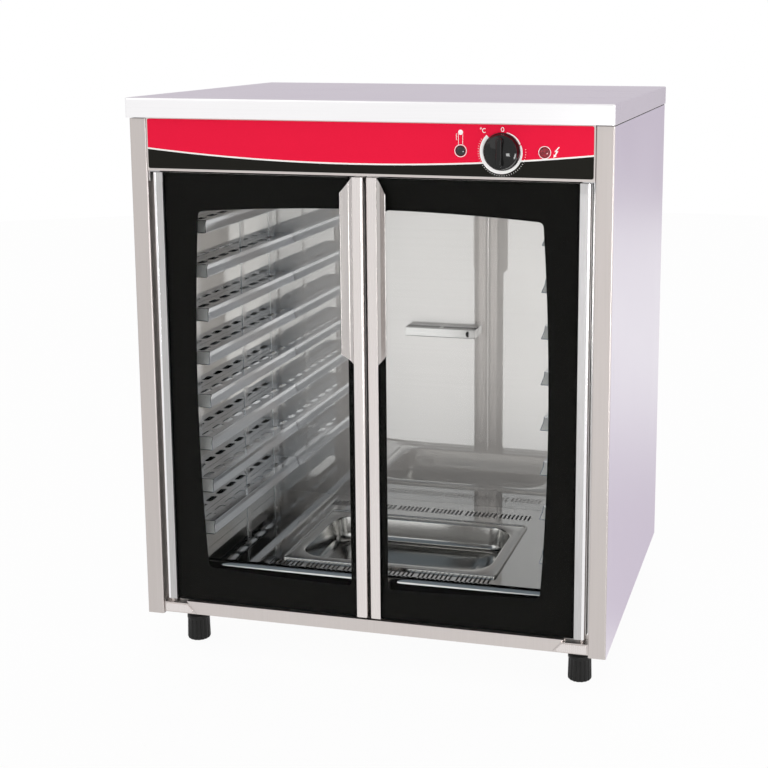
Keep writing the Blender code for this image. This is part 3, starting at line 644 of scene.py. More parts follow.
def dome(radius, height):
    """Profile of a low domed head, from its top down to its rim."""
    angles = np.linspace(0.0, math.pi / 2, dome_steps)
    return [(max(radius * math.sin(a), axis_radius), height * math.cos(a)) for a in angles]


def tiles(centres_u, centres_v, cell, slot, low, high):
    """Flat sheet cells, each with one slot with round ends, u in depth and v across. A cell is a ring of
    nine directions to each half by four levels: cell edge and slot edge on the upper face, then slot edge
    and cell edge on the lower face."""
    half_u, half_v = cell[0] / 2, cell[1] / 2
    radius = slot[1] / 2
    straight = slot[0] / 2 - radius
    between = (straight + half_u) / 2
    edge_shares = np.array([-1.0, -1.0, -1.0, -0.5, 0.0, 0.5, 1.0, 1.0, 1.0])
    edge_u = np.array([straight, between, half_u, half_u, half_u, half_u, half_u, between, straight])
    edge_v = half_v * edge_shares
    angles = np.radians(np.linspace(-90.0, 90.0, len(edge_shares)))
    hole_u = straight + radius * np.cos(angles)
    hole_v = radius * np.sin(angles)
    hole = np.stack([np.r_[hole_u, -hole_u], np.r_[hole_v, -hole_v]], axis=1)
    edge = np.stack([np.r_[edge_u, -edge_u], np.r_[edge_v, -edge_v]], axis=1)
    ring = np.stack([edge, hole, hole, edge], axis=1)
    levels = np.array([high, high, low, low])
    u = np.asarray(centres_u)[:, None, None] + ring[None, :, :, 0]
    v = np.asarray(centres_v)[:, None, None] + ring[None, :, :, 1]
    points = place(v, u, levels, "Z").reshape(-1, 3)
    count = len(ring) * len(levels)
    one = quads(len(ring), len(levels), True, True)
    if volume(points[:count], one) < 0.0:
        one = one[:, ::-1]
    faces = (one[None] + (np.arange(len(centres_u)) * count)[:, None, None]).reshape(-1, 4)
    return points, faces


def ribbon(path, width, is_closed, low, high):
    """A flat line on the front: the path moved half a width to each side, with a thickness. The width is
    one value, or one for each point."""
    path = np.asarray(path, float)
    run = np.roll(path, -1, axis=0) - np.roll(path, 1, axis=0) if is_closed else np.gradient(path, axis=0)
    half = leftward(run) * np.broadcast_to(width, len(path))[:, None] / 2
    loops = [(path + half, low), (path + half, high), (path - half, high), (path - half, low)]
    if is_closed:
        return closed_loops(loops, "Y")
    return closed(np.stack([place(line[:, 0], line[:, 1], level, "Y") for line, level in loops]))


# Shader nodes

def feed(tree, node, inputs):
    """Sets each input to a fixed value, or links it to the output that feeds it."""
    for key, value in inputs.items():
        if isinstance(value, bpy.types.NodeSocket):
            tree.links.new(value, node.inputs[key])
        else:
            node.inputs[key].default_value = value


def add_node(tree, kind, inputs, **settings):
    node = tree.nodes.new("ShaderNode" + kind)
    for name, value in settings.items():
        setattr(node, name, value)
    feed(tree, node, inputs)
    return node


def calculate(tree, operation, *values):
    return add_node(tree, "Math", dict(enumerate(values)), operation=operation).outputs["Value"]


def product(tree, first, *others):
    for other in others:
        first = calculate(tree, "MULTIPLY", first, other)
    return first


def object_position(tree):
    return add_node(tree, "TexCoord", {}).outputs["Object"]


def separate(tree, vector):
    return add_node(tree, "SeparateXYZ", {"Vector": vector}).outputs


def add_noise(tree, position, scale, detail=noise_detail, roughness=noise_roughness):
    inputs = {"Vector": position, "Scale": scale, "Detail": detail, "Roughness": roughness}
    return add_node(tree, "TexNoise", inputs).outputs["Fac"]


def spread(tree, noise, low, high):
    """Takes the span that most of the noise stays in to the range asked for."""
    inputs = {"Value": noise, "From Min": noise_low, "From Max": noise_high, "To Min": low, "To Max": high}
    return add_node(tree, "MapRange", inputs).outputs["Result"]


def mix_colors(tree, factor, first, second):
    """Mixes two colours, each three numbers or an output."""
    inputs = {"Factor": factor}
    for key, color in (("A", first), ("B", second)):
        inputs[key] = color if isinstance(color, bpy.types.NodeSocket) else (*color, 1.0)
    return add_node(tree, "Mix", inputs, data_type="RGBA").outputs["Result"]


def relief(tree, height, strength, distance):
    inputs = {"Height": height, "Strength": strength, "Distance": distance}
    return add_node(tree, "Bump", inputs).outputs["Normal"]


def soft_zone(tree, coordinate, edges):
    """One between the two middle edges of a coordinate, falling softly to zero at the outer two."""
    low_edge, low_full, high_full, high_edge = edges
    slopes = []
    for outer, inner in ((low_edge, low_full), (high_edge, high_full)):
        inputs = {"Value": coordinate, "From Min": outer, "From Max": inner}
        slopes.append(add_node(tree, "MapRange", inputs, interpolation_type="SMOOTHSTEP").outputs["Result"])
    return product(tree, *slopes)


def build_grain_group():
    """Brushed grain: noise stretched along one axis, for shade, roughness and relief, over soft smudges."""
    tree = bpy.data.node_groups.new("brushed_grain", "ShaderNodeTree")
    for in_out, name, kind in (
        ("INPUT", "Vector", "NodeSocketVector"),
        ("INPUT", "Stretch", "NodeSocketVector"),
        ("OUTPUT", "Grain", "NodeSocketFloat"),
        ("OUTPUT", "Smudge", "NodeSocketFloat"),
    ):
        tree.interface.new_socket(name=name, in_out=in_out, socket_type=kind)
    entry = tree.nodes.new("NodeGroupInput").outputs
    inputs = {0: entry["Vector"], 1: entry["Stretch"]}
    stretched = add_node(tree, "VectorMath", inputs, operation="MULTIPLY").outputs["Vector"]
    grain = add_noise(tree, stretched, 1.0, grain_detail, grain_roughness)
    smudge = add_noise(tree, entry["Vector"], smudge_scale)
    feed(tree, tree.nodes.new("NodeGroupOutput"), {"Grain": grain, "Smudge": smudge})
    return tree


grain_group = build_grain_group()


# Materials

def main_shader(material):
    """A material's node tree and its main shader."""
    tree = material.node_tree
    return tree, tree.nodes["Principled BSDF"]


def new_material(name):
    material = bpy.data.materials.new(name)
    material.use_nodes = True
    return material, *main_shader(material)


def metal_sheet(name, dark, light, stretch, rough, strength):
    """Sheet metal with a directional grain: the shade follows the grain, and the roughness the mean of the
    grain and the smudges."""
    material, tree, shader = new_material(name)
    inputs = {"Vector": object_position(tree), "Stretch": stretch}
    group = add_node(tree, "Group", inputs, node_tree=grain_group).outputs
    shade = spread(tree, group["Grain"], 0.0, 1.0)
    mean = calculate(tree, "DIVIDE", calculate(tree, "ADD", group["Grain"], group["Smudge"]), 2.0)
    values = {
        "Metallic": 1.0,
        "Base Color": mix_colors(tree, shade, dark, light),
        "Roughness": spread(tree, mean, *rough),
        "Normal": relief(tree, group["Grain"], strength, metal_relief),
    }
    feed(tree, shader, values)
    return material


def moulded_plastic(name, dark, light, roughness, scale, strength, specular):
    """Moulded surface with a fine grain in relief and a slight mottling in shade."""
    material, tree, shader = new_material(name)
    fine = add_noise(tree, object_position(tree), scale)
    shade = spread(tree, fine, 0.0, 1.0)
    values = {
        "Roughness": roughness,
        "Specular IOR Level": specular,
        "Base Color": mix_colors(tree, shade, dark, light),
        "Normal": relief(tree, fine, strength, plastic_relief),
    }
    feed(tree, shader, values)
    return material


def printed_film(name):
    """Control panel film: red above a white swoosh and black below it. The swoosh is a parabola in the
    height above the panel's foot, and its distance from each point picks the ink."""
    material, tree, shader = new_material(name)
    position = object_position(tree)
    axes = separate(tree, position)
    from_centre = calculate(tree, "SUBTRACT", axes["X"], swoosh_centre_x)
    bow = product(tree, from_centre, from_centre, swoosh_curve)
    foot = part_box("control_fascia")[0].z
    above_foot = calculate(tree, "SUBTRACT", axes["Z"], foot + swoosh_rise)
    height = calculate(tree, "SUBTRACT", above_foot, bow)
    mottle = add_noise(tree, position, film_grain)
    is_red = calculate(tree, "GREATER_THAN", height, 0.0)
    black = mix_colors(tree, mottle, *film_black)
    inks = mix_colors(tree, is_red, black, mix_colors(tree, mottle, *film_red))
    is_line = calculate(tree, "LESS_THAN", calculate(tree, "ABSOLUTE", height), swoosh_half_width)
    values = {
        "Base Color": mix_colors(tree, is_line, inks, film_white),
        "Normal": relief(tree, mottle, film_relief_strength, plastic_relief),
    }
    feed(tree, shader, film_gloss | values)
    return material


def clear_glass(name):
    """Clear pane: very slight smears show only in its gloss."""
    material, tree, shader = new_material(name)
    smear = add_noise(tree, object_position(tree), smear_scale)
    feed(tree, shader, glass_values | {"Roughness": spread(tree, smear, 0.0, smear_roughness)})
    return material


def paint_side_light(material):
    """Paints light onto the folded side sheets: a paler, lilac face on the outside that stands for how the
    light falls on that side, told apart by the distance from the cabinet's middle."""
    tree, shader = main_shader(material)
    grained = shader.inputs["Base Color"].links[0].from_socket
    away = calculate(tree, "ABSOLUTE", separate(tree, object_position(tree))["X"])
    outer = reach("side_panel_right", 1.0)[1]
    inputs = {"Value": away, "From Min": outer - body_bend * outer_share, "From Max": outer}
    outside = add_node(tree, "MapRange", inputs).outputs["Result"]
    # Painted light: the outer face takes the paler lilac in place of the grained steel
    feed(tree, shader, {"Base Color": mix_colors(tree, outside, grained, side_painted_light)})


looks = {name: metal_sheet(name, *values) for name, values in metal_looks.items()}
looks |= {name: moulded_plastic(name, *values) for name, values in plastic_looks.items()}
looks["fascia_print"] = printed_film("fascia_print")
looks["clear_glass"] = clear_glass("clear_glass")
paint_side_light(looks["side_steel"])
feed(*main_shader(looks["back_steel"]), back_gloss)


# Body sheets

def build_worktop():
    """Tray with soft edges: rounded rectangles whose inset follows a quarter circle at each edge, then the
    return underneath and the inside back up to the sheet's thickness below the top."""
    low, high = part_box("top_panel")
    depth = high.z - low.z
    inset_top, drop_top = quarter_levels(worktop_edge_radius, bend_steps, 90.0, 0.0)
    inset_low, drop_low = quarter_levels(worktop_foot_radius, bend_steps, 0.0, 90.0)
    levels = [
        (worktop_edge_radius + edge_support, 0.0),
        *zip(inset_top, worktop_edge_radius - drop_top),
        (0.0, worktop_edge_radius + edge_support),
        (0.0, depth - worktop_foot_radius - edge_support),
        *zip(inset_low, depth - worktop_foot_radius + drop_low),
        (worktop_return, depth),
        (worktop_return, depth - sheet),
        (sheet, depth - sheet),
        (sheet, sheet),
    ]
    largest = worktop_edge_radius + worktop_corner_radius
    stack = []
    for inset, drop in levels:
        radius = min(max(worktop_corner_radius, largest - inset), largest)
        stack.append((high.x - low.x - 2 * inset, high.y - low.y - 2 * inset, radius, high.z - drop))
    shell = stacked(stack, middle("top_panel"), "Z")
    add_piece("worktop", [shell], "cabinet", "worktop_steel", ["top_panel"])


def build_sides():
    """Each side is one sheet: post return, post, side and rear flange, bent round and carried upwards."""
    for name, side in sides:
        node = "side_panel_" + name
        low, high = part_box(node)
        outer = reach(node, side)[1]
        post = outer - post_width
        path = [
            (post, low.y + post_return),
            (post, low.y),
            (outer, low.y),
            (outer, high.y),
            (outer - rear_flange, high.y),
        ]
        section = folded_section(path, sheet, body_bend) * (side, 1.0)
        shell = prism(section, "Z", low.z, high.z - shadow_gap)
        add_piece("side_" + name, [shell], "cabinet", "side_steel", [node])


def build_screws():
    """Pan-head screws round the back panel, each a dome with a dimple in its middle."""
    low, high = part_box("back_panel")
    across = np.linspace(low.x + back_screw_inset, high.x - back_screw_inset, back_screw_columns)
    up = np.linspace(low.z + back_screw_inset, high.z - back_screw_inset, back_screw_rows)
    places = [(x, z) for z in (up[0], up[-1]) for x in across]
    places += [(x, z) for x in (across[0], across[-1]) for z in up[1:-1]]
    profile = [(axis_radius, screw_height - screw_recess / 2), (screw_recess, screw_height)]
    profile += [(r + screw_recess, h) for r, h in dome(screw_radius - screw_recess, screw_height)[1:]]
    profile += [(screw_radius, -seat), (axis_radius, -seat)]
    shells = []
    for spot in places:
        points, faces = turned(profile, spot, "Y", small_ring_steps)
        shells.append((points + (0.0, high.y, 0.0), faces))
    add_piece("back_screws", shells, "cabinet", "hinge_steel")


# Control panel

def build_control_print():
    """White marks of the control panel: scale ring, ticks, zero, letter C with its degree sign, lamp rings
    and thermometer as lines of even width or slow swell along a path, and a bolt cut as a flat outline."""
    film_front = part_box("fascia_decal")[0].y
    front = film_front - print_lift
    back = film_front - print_gap
    centre = middle("knob")[[0, 2]]
    shells = []

    def line(path, width, is_closed=False):
        shells.append(ribbon(path, width, is_closed, front, back))

    for start, end, thin, thick in ring_parts:
        share = np.linspace(0.0, 1.0, fine_ring_steps)
        width = thin + (thick - thin) * np.minimum(1.0, share * ring_swell)
        line(clock(ring_inner + width / 2, start + (end - start) * share, centre), width)
    for degrees in np.linspace(tick_first_degrees, tick_last_degrees, tick_count):
        line(clock(np.array([tick_radius, tick_radius + tick_length]), degrees, centre), tick_width)

    half_width = (glyph_width - glyph_line) / 2
    half_height = (glyph_height - glyph_line) / 2
    line(ellipse(centre + zero_place, half_width, half_height), glyph_line, True)
    bow = np.radians(np.linspace(letter_gap_degrees, 360.0 - letter_gap_degrees, ring_steps))
    line(ellipse(centre + letter_place, half_height * letter_width_share, half_height, bow), glyph_line)
    line(ellipse(centre + degree_place, degree_radius, degree_radius), degree_line, True)

    for node in ("thermostat_lamp", "power_lamp"):
        line(ellipse(middle(node)[[0, 2]], lamp_ring_radius, lamp_ring_radius), lamp_ring_line, True)

    lamp = middle("thermostat_lamp")[[0, 2]]
    for x in (-stem_half_width, stem_half_width):
        line(lamp + [(x, stem_foot), (x, stem_top)], sign_line)
    line(ellipse(lamp + (0.0, bulb_rise), bulb_radius, bulb_radius), bulb_line, True)
    line(lamp + [(scale_x, scale_foot), (scale_x, scale_top)], sign_line)
    for rise in scale_marks:
        line(lamp + [(x, rise) for x in scale_mark_ends], sign_line)

    bolt = middle("power_lamp")[[0, 2]] + bolt_place + bolt_outline
    shells.append(prism(bolt, "Y", front, back))
    add_piece("control_print", shells, "cabinet", "white_ink", angle=print_smooth_degrees)


def build_knob():
    """Turned skirt and a crown domed as a cosine, with a grip bar of stacked round-ended outlines."""
    centre = middle("knob")[[0, 2]]
    seat_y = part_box("knob")[0].y + knob_height
    shares = np.linspace(0.0, 1.0, 2 * bend_steps)
    crown_radii = np.maximum((knob_crown_radius - knob_round) * shares, axis_radius)
    profile = list(zip(crown_radii, knob_crown_height + knob_crown_rise * np.cos(shares * math.pi / 2)))
    inset, drop = quarter_levels(knob_round, bend_steps, 90.0, 0.0)
    crown_edge = knob_crown_height - knob_round
    profile += [(knob_crown_radius - i, crown_edge + d) for i, d in zip(inset[1:], drop[1:])]
    profile += [
        (knob_neck_radius, knob_skirt_height + knob_round),
        (knob_neck_radius + knob_round / 3, knob_skirt_height + knob_round / 3),
        (knob_neck_radius + knob_round / 2, knob_skirt_height),
    ]
    inset, drop = quarter_levels(knob_round / 2, bend_steps, 90.0, 0.0)
    skirt_edge = knob_skirt_height - knob_round / 2
    profile += [(knob_skirt_radius - i, skirt_edge + d) for i, d in zip(inset, drop)]
    profile += [(knob_skirt_radius, 0.0), (shaft_radius, 0.0), (shaft_radius, -shaft_length)]
    profile.append((axis_radius, -shaft_length))
    points, faces = turned(profile, centre, "Y", fine_ring_steps)
    body = (points * (1.0, -1.0, 1.0) + (0.0, seat_y, 0.0), [face[::-1] for face in faces])

    levels = []
    inset, drop = quarter_levels(knob_grip_round, bend_steps, 90.0, 0.0)
    for i, d in zip(inset, drop):
        half_length = knob_grip_half_length - 2 * i
        levels.append((knob_grip_width - 2 * i, half_length, seat_y - knob_height + knob_grip_round - d))
    levels.append((knob_grip_foot_width, knob_grip_half_length, seat_y - knob_crown_height))
    stack = [(width, 2 * half_length, width / 2 * grip_end_share, y) for width, half_length, y in levels]
    grip = stacked(stack, centre, "Y", knob_grip_steps)
    add_piece("knob_cap", [body, grip], "knob", "gloss_black", ["knob"])


def build_lamp_bezels():
    """Thin rings round the two lenses: a small circle carried round a larger one."""
    tube = bezel_width / 2
    angles = np.arange(bezel_steps) / bezel_steps * 2 * math.pi
    radii = lens_radius - tube / 2 + tube * np.cos(angles)
    for node, slot in (("thermostat_lamp", "lamp_black"), ("power_lamp", "lamp_red")):
        centre = middle(node)[[0, 2]]
        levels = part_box(node)[0].y + lens_height - tube + tube * np.sin(angles)
        loops = [(ellipse(centre, radius, radius), level) for radius, level in zip(radii, levels)]
        add_piece(node + "_bezel", [closed_loops(loops, "Y")], "cabinet", "gloss_black")


# Doors

def window_outline(base):
    """The clear window's edge on the right door: bowed top, bottom and outer side as parabolas, a straight
    inner side, and quarter-round corners."""
    share = np.linspace(0.0, 1.0, window_side_steps)

    def top(x):
        return base + window_top_rise - window_top_bow * (x / window_bow_width) ** 2

    def bottom(x):
        return base + window_bottom_rise + window_bottom_bow * (x / window_bow_width) ** 2

    def outer(z):
        return window_outer_x - window_outer_bow * ((z - base - window_middle_rise) / window_bow_height) ** 2

    def between(start, end):
        """Evenly spaced from one corner to the next, clear of both corners' rounding."""
        inward = math.copysign(window_corner, end - start)
        return start + inward + (end - start - 2 * inward) * share

    def corner(start, end, vertex):
        """A quarter round as the quadratic curve from one side's end to the next one's start."""
        t = np.linspace(0.0, 1.0, window_corner_steps + 1)[1:-1, None]
        pull = vertex + ((start + end) / 2 - vertex) * window_corner_share
        return (1 - t) ** 2 * start + 2 * t * (1 - t) * pull + t**2 * end

    top_outer = np.array([outer(top(window_bow_width)), top(window_bow_width)])
    bottom_outer = np.array([outer(bottom(window_bow_width)), bottom(window_bow_width)])
    top_inner = np.array([window_inner_x, top(window_inner_x)])
    bottom_inner = np.array([window_inner_x, bottom(window_inner_x)])
    xs = between(bottom_inner[0], bottom_outer[0])
    lower = np.stack([xs, bottom(xs)], axis=1)
    zs = between(bottom_outer[1], top_outer[1])
    outward = np.stack([outer(zs), zs], axis=1)
    xs = between(top_outer[0], top_inner[0])
    upper = np.stack([xs, top(xs)], axis=1)
    zs = between(top_inner[1], bottom_inner[1])
    inward = np.stack([np.full_like(zs, window_inner_x), zs], axis=1)
    parts = []
    edges = [lower, outward, upper, inward]
    for i, vertex in enumerate((bottom_outer, top_outer, top_inner, bottom_inner)):
        parts += [edges[i], corner(edges[i][-1], edges[(i + 1) % 4][0], vertex)]
    return np.concatenate(parts)


def pane_edge(inner, outer, low, high):
    """Points on the pane's edge to match the window's: most of them along each side, and in each corner
    group some before the corner, one on it and some after it."""
    corners = np.array([(inner, low), (outer, low), (outer, high), (inner, high)])
    along_side = np.linspace(pane_corner_share, 1.0 - pane_corner_share, window_side_steps)
    half = window_corner_steps // 2
    before = np.linspace(1.0 - pane_corner_share, 1.0, half + 1)[1:]
    after = np.linspace(0.0, pane_corner_share, half + 1)[1:-1, None]
    share = np.concatenate([along_side, before])[:, None]
    parts = []
    for i in range(4):
        here, ahead, beyond = corners[i], corners[(i + 1) % 4], corners[(i + 2) % 4]
        parts += [here + (ahead - here) * share, ahead + (beyond - ahead) * after]
    return np.concatenate(parts)


def build_door_prints():
    """Black ink border on the pane's back: a thin ring between the pane's visible edge and the window."""
    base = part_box("side_panel_left")[0].z
    for name, side in sides:
        low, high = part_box("door_glass_" + name)
        inner = reach("centre_stile_" + name, side)[1] - print_reach
        outer = reach("hinge_profile_" + name, side)[0] + print_reach
        outline = window_outline(base) * (side, 1.0)
        edge = pane_edge(inner, outer, low.z, high.z) * (side, 1.0)
        near = high.y + print_thickness / 2
        far = near + print_thickness
        shell = closed_loops([(edge, near), (outline, near), (outline, far), (edge, far)], "Y")
        add_piece("door_border_" + name, [shell], "door_" + name, "border_ink")


def build_stiles():
    """Centre stiles: the channel that grips the pane, with a full round on the meeting edge."""
    for name, side in sides:
        node = "centre_stile_" + name
        low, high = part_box(node)
        glass_low, glass_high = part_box("door_glass_" + name)
        near = stile_meeting_gap
        far = reach(node, side)[1]
        groove = reach("door_glass_" + name, side)[0] - seat
        corners = [
            (near, low.y),
            (far, low.y),
            (far, glass_low.y - seat),
            (groove, glass_low.y - seat),
            (groove, glass_high.y + seat),
            (far, glass_high.y + seat),
            (far, high.y),
            (near, high.y),
        ]
        tight = stile_outer_round
        radii = [stile_inner_round, tight, 0.0, 0.0, 0.0, 0.0, tight, stile_inner_round]
        shell = prism(rounded(corners, radii) * (side, 1.0), "Z", low.z, high.z)
        add_piece("stile_" + name, [shell], "door_" + name, "stile_steel", [node])


def build_wings():
    """Pull wings: a strip beside the stile that flares forward to a thicker hemmed edge. Both ends are cut
    at a slant, so each point's lower and upper end follow its distance from the stile."""
    flare = np.array([wing_flare_out, -wing_flare_forward])
    slope = unit(flare)
    backward = np.array([-slope[1], slope[0]])
    half_turn = math.tan(math.atan2(wing_flare_forward, wing_flare_out) / 2)
    for name, side in sides:
        node = "pull_wing_" + name
        low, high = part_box(node)
        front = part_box("centre_stile_" + name)[0].y
        start = reach(node, side)[0]
        bend = np.array([start + wing_flat, front])
        tip = bend + flare
        step = tip - slope * wing_hem
        corners = [
            (start, front),
            bend,
            step,
            step - backward * wing_hem_rise,
            tip - backward * wing_hem_rise,
            tip + backward * wing_sheet,
            bend + (half_turn * wing_sheet, wing_sheet),
            (start, front + wing_sheet),
        ]
        fine = wing_fine_round
        radii = [fine, wing_bend, fine, fine, wing_edge_round, wing_edge_round, wing_bend - wing_sheet, fine]
        section = rounded(corners, radii)
        share = np.clip((section[:, 0] - start) / (tip[0] - start), 0.0, 1.0)
        bottoms = low.z + wing_bottom_chamfer * share
        shell = prism(section * (side, 1.0), "Z", bottoms, high.z - wing_top_chamfer * share)
        add_piece("wing_" + name, [shell], "door_" + name, "wing_steel", [node])


def build_profile_covers():
    """Covers on the hinge profiles: a face that leans slightly outwards and stops short of the upper
    hinge bracket, then a bright round bead."""
    for name, side in sides:
        node = "hinge_profile_" + name
        low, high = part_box(node)
        near, edge = reach(node, side)
        far = edge + cover_sheet
        front = low.y - cover_sheet
        face_end = near + cover_face
        face = [(near, low.y), (near, front - cover_tilt), (face_end, front), (face_end, low.y)]
        bead = [
            (face_end + cover_sheet, low.y),
            (face_end + cover_sheet, front),
            (far, front),
            (far, front + cover_side),
            (far - cover_sheet, front + cover_side),
            (far - cover_sheet, low.y),
        ]
        face_radii = [0.0, cover_sheet, cover_sheet, 0.0]
        bead_radii = [0.0, cover_sheet, cover_bead, 0.0, 0.0, cover_bead - cover_sheet]
        for part, corners, radii, look, top in (
            ("profile_face_", face, face_radii, "profile_aluminium", high.z - cover_end),
            ("profile_bead_", bead, bead_radii, "bead_steel", high.z),
        ):
            shell = prism(rounded(corners, radii) * (side, 1.0), "Z", low.z, top)
            add_piece(part + name, [shell], "door_" + name, look)


# Chamber

def build_rail(node, side):
    """One tray rail: a slotted flange; a nose that drops straight and then leans out to its foot; a return
    underneath and a leg on the wall. The front end is cut back in proportion to the height. Returned as
    the rail's shells and the plate that closes its front end."""
    low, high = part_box(node)
    foot, wall = reach(node, side)
    top = high.z
    leg_top = top - rail_sheet
    neck = foot + rail_lean
    flange_start = neck + rail_bend + edge_support
    start = low.y + rail_front_cut

    def front_of(section):
        return low.y + rail_front_cut * (section[:, 1] - low.z) / (top - low.z)

    path = [
        (flange_start, top),
        (neck, top),
        (neck, top - rail_nose_drop),
        (foot, low.z),
        (foot + rail_return, low.z),
    ]
    nose = folded_section(path, rail_sheet, rail_bend)
    legs = sorted([side * (wall - rail_sheet), side * wall])
    pitch = (high.y - start) / rail_slots
    centres = start + pitch * (np.arange(rail_slots) + 0.5)
    across = np.full(rail_slots, side * (flange_start + wall) / 2)
    cell = (pitch, wall - flange_start)
    shells = [
        prism(nose * (side, 1.0), "Y", front_of(nose), high.y),
        block((legs[0], start, low.z), (legs[1], high.y, leg_top)),
        tiles(centres, across, cell, (rail_slot_length, rail_slot_width), leg_top, top),
    ]
    plate = np.array(
        [
            (neck + rail_sheet, leg_top),
            (neck + rail_sheet, top - rail_nose_drop),
            (foot + rail_sheet, low.z + rail_sheet),
            (wall - rail_sheet, low.z + rail_sheet),
            (wall - rail_sheet, leg_top),
        ]
    )
    plate_front = front_of(plate) + seat
    return shells, prism(plate * (side, 1.0), "Y", plate_front, plate_front + rail_sheet)


def build_rails():
    for name, side in sides:
        ends = []
        for level in range(1, rail_levels + 1):
            place_name = name + "_" + str(level)
            node = "tray_rail_" + place_name
            shells, end = build_rail(node, side)
            ends.append(end)
            add_piece("rail_" + place_name, shells, "cabinet", "rail_steel", [node])
        add_piece("rail_ends_" + name, ends, "cabinet", "cut_steel")


def build_uprights():
    """Strips on the walls that carry the rails, each with two screws below the lowest rail."""
    floor_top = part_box("chamber_floor")[1].z
    screw = dome(screw_radius, screw_height) + [(screw_radius, -seat), (axis_radius, -seat)]
    for name, side in sides:
        wall = reach("chamber_wall_" + name, side)[0]
        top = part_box("tray_rail_" + name + "_" + str(rail_levels))[1].z - rail_sheet
        inner = wall - upright_sheet
        shells = []
        for y in upright_places:
            front, back = y - upright_width / 2, y + upright_width / 2
            corners = [(inner, front), (wall, front), (wall, back), (inner, back)]
            section = rounded(corners, [upright_round, 0.0, 0.0, upright_round])
            shells.append(prism(section * (side, 1.0), "Z", floor_top, top))
            for rise in upright_screws:
                points, faces = turned(screw, (y, floor_top + rise), "X", small_ring_steps)
                points = points * (-side, 1.0, 1.0) + (side * inner, 0.0, 0.0)
                shells.append((points, [face[::-1] for face in faces] if side > 0 else faces))
        add_piece("uprights_" + name, shells, "cabinet", "guard_steel")


def ring_to_rectangle(outline, centre, half, low, high):
    """Flat sheet between a rounded opening and a rectangle: each opening point goes straight out from the
    centre to the rectangle's edge, in four levels like the tiles."""
    away = outline - centre
    edge = centre + away / (np.abs(away) / half).max(axis=1)[:, None]
    return closed_loops([(edge, high), (outline, high), (outline, low), (edge, low)], "Z")


def floor_slot_places():
    """Centres of the floor's slots across the chamber, in even groups."""
    groups = (np.arange(floor_groups) - (floor_groups - 1) / 2) * floor_group_pitch
    in_group = (np.arange(floor_slots_in_group) - (floor_slots_in_group - 1) / 2) * floor_slot_pitch
    return (groups[:, None] + in_group[None, :]).ravel()


def densified(loop, steps):
    """Adds evenly spaced points along each side of a loop."""
    share = np.arange(steps)[None, :, None] / steps
    after = np.roll(loop, -1, axis=0)
    return (loop[:, None] + (after - loop)[:, None] * share).reshape(-1, 2)


def with_corners(loop, centre, half):
    """Moves the loop's points nearest to the rectangle's diagonals exactly onto them."""
    loop = loop.copy()
    away = loop - centre
    slant = np.abs(away[:, 0]) / half[0] - np.abs(away[:, 1]) / half[1]
    for signs in ((-1.0, -1.0), (-1.0, 1.0), (1.0, -1.0), (1.0, 1.0)):
        here = (np.sign(away) == signs).all(axis=1)
        index = np.flatnonzero(here)[np.abs(slant[here]).argmin()]
        loop[index] = centre + unit(half * signs) * np.linalg.norm(away[index])
    return loop


def build_floor():
    """Chamber floor: slotted rows before and behind the pan, the sheet round the pan's opening, plain
    strips between, and the front flange."""
    low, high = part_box("chamber_floor")
    pan_low, pan_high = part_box("water_pan")
    top = high.z
    under = top - sheet
    x = floor_slot_places()
    front_y = low.y + floor_front_row
    rear_y = low.y + floor_rear_row
    half_row = floor_slot_length / 2 + floor_row_margin
    half_pitch = floor_slot_pitch / 2
    starts = np.r_[low.x, x[floor_slots_in_group - 1 :: floor_slots_in_group] + half_pitch]
    ends = np.r_[x[::floor_slots_in_group] - half_pitch, high.x]
    cell = (2 * half_row, floor_slot_pitch)
    slot = (floor_slot_length, floor_slot_width)
    shells = []
    fillers = []
    for row_y in (front_y, rear_y):
        shells.append(tiles(np.full(len(x), row_y), x, cell, slot, under, top))
        fillers += [(start, row_y - half_row, end, row_y + half_row) for start, end in zip(starts, ends)]
    centre = middle("water_pan")[:2]
    width = pan_high.x - pan_low.x
    length = pan_high.y - pan_low.y
    narrower = 2 * (well_gap - pan_rim)
    well = rounded_rectangle(width + narrower, length + narrower, well_corner, well_steps)
    band_low = front_y + half_row
    band_high = rear_y - half_row
    half = np.array([width / 2, min(centre[1] - band_low, band_high - centre[1])])
    opening = with_corners(densified(well + centre, well_steps), centre, half)
    shells.append(ring_to_rectangle(opening, centre, half, under, top))
    left, right = centre[0] - half[0], centre[0] + half[0]
    before, behind = centre[1] - half[1], centre[1] + half[1]
    fillers += [
        (low.x, band_low, left, band_high),
        (right, band_low, high.x, band_high),
        (left, band_low, right, before),
        (left, behind, right, band_high),
        (low.x, rear_y + half_row, high.x, high.y),
    ]
    for start_x, start_y, end_x, end_y in fillers:
        if end_y > start_y:
            shells.append(block((start_x, start_y, under), (end_x, end_y, top)))
    front = low.y + floor_front_setback
    path = [(front_y - half_row, top), (front, top), (front, low.z)]
    shells.append(prism(folded_section(path, sheet, floor_front_bend), "X", low.x, high.x))
    add_piece("floor_sheet", shells, "cabinet", "mirror_steel", ["chamber_floor"])


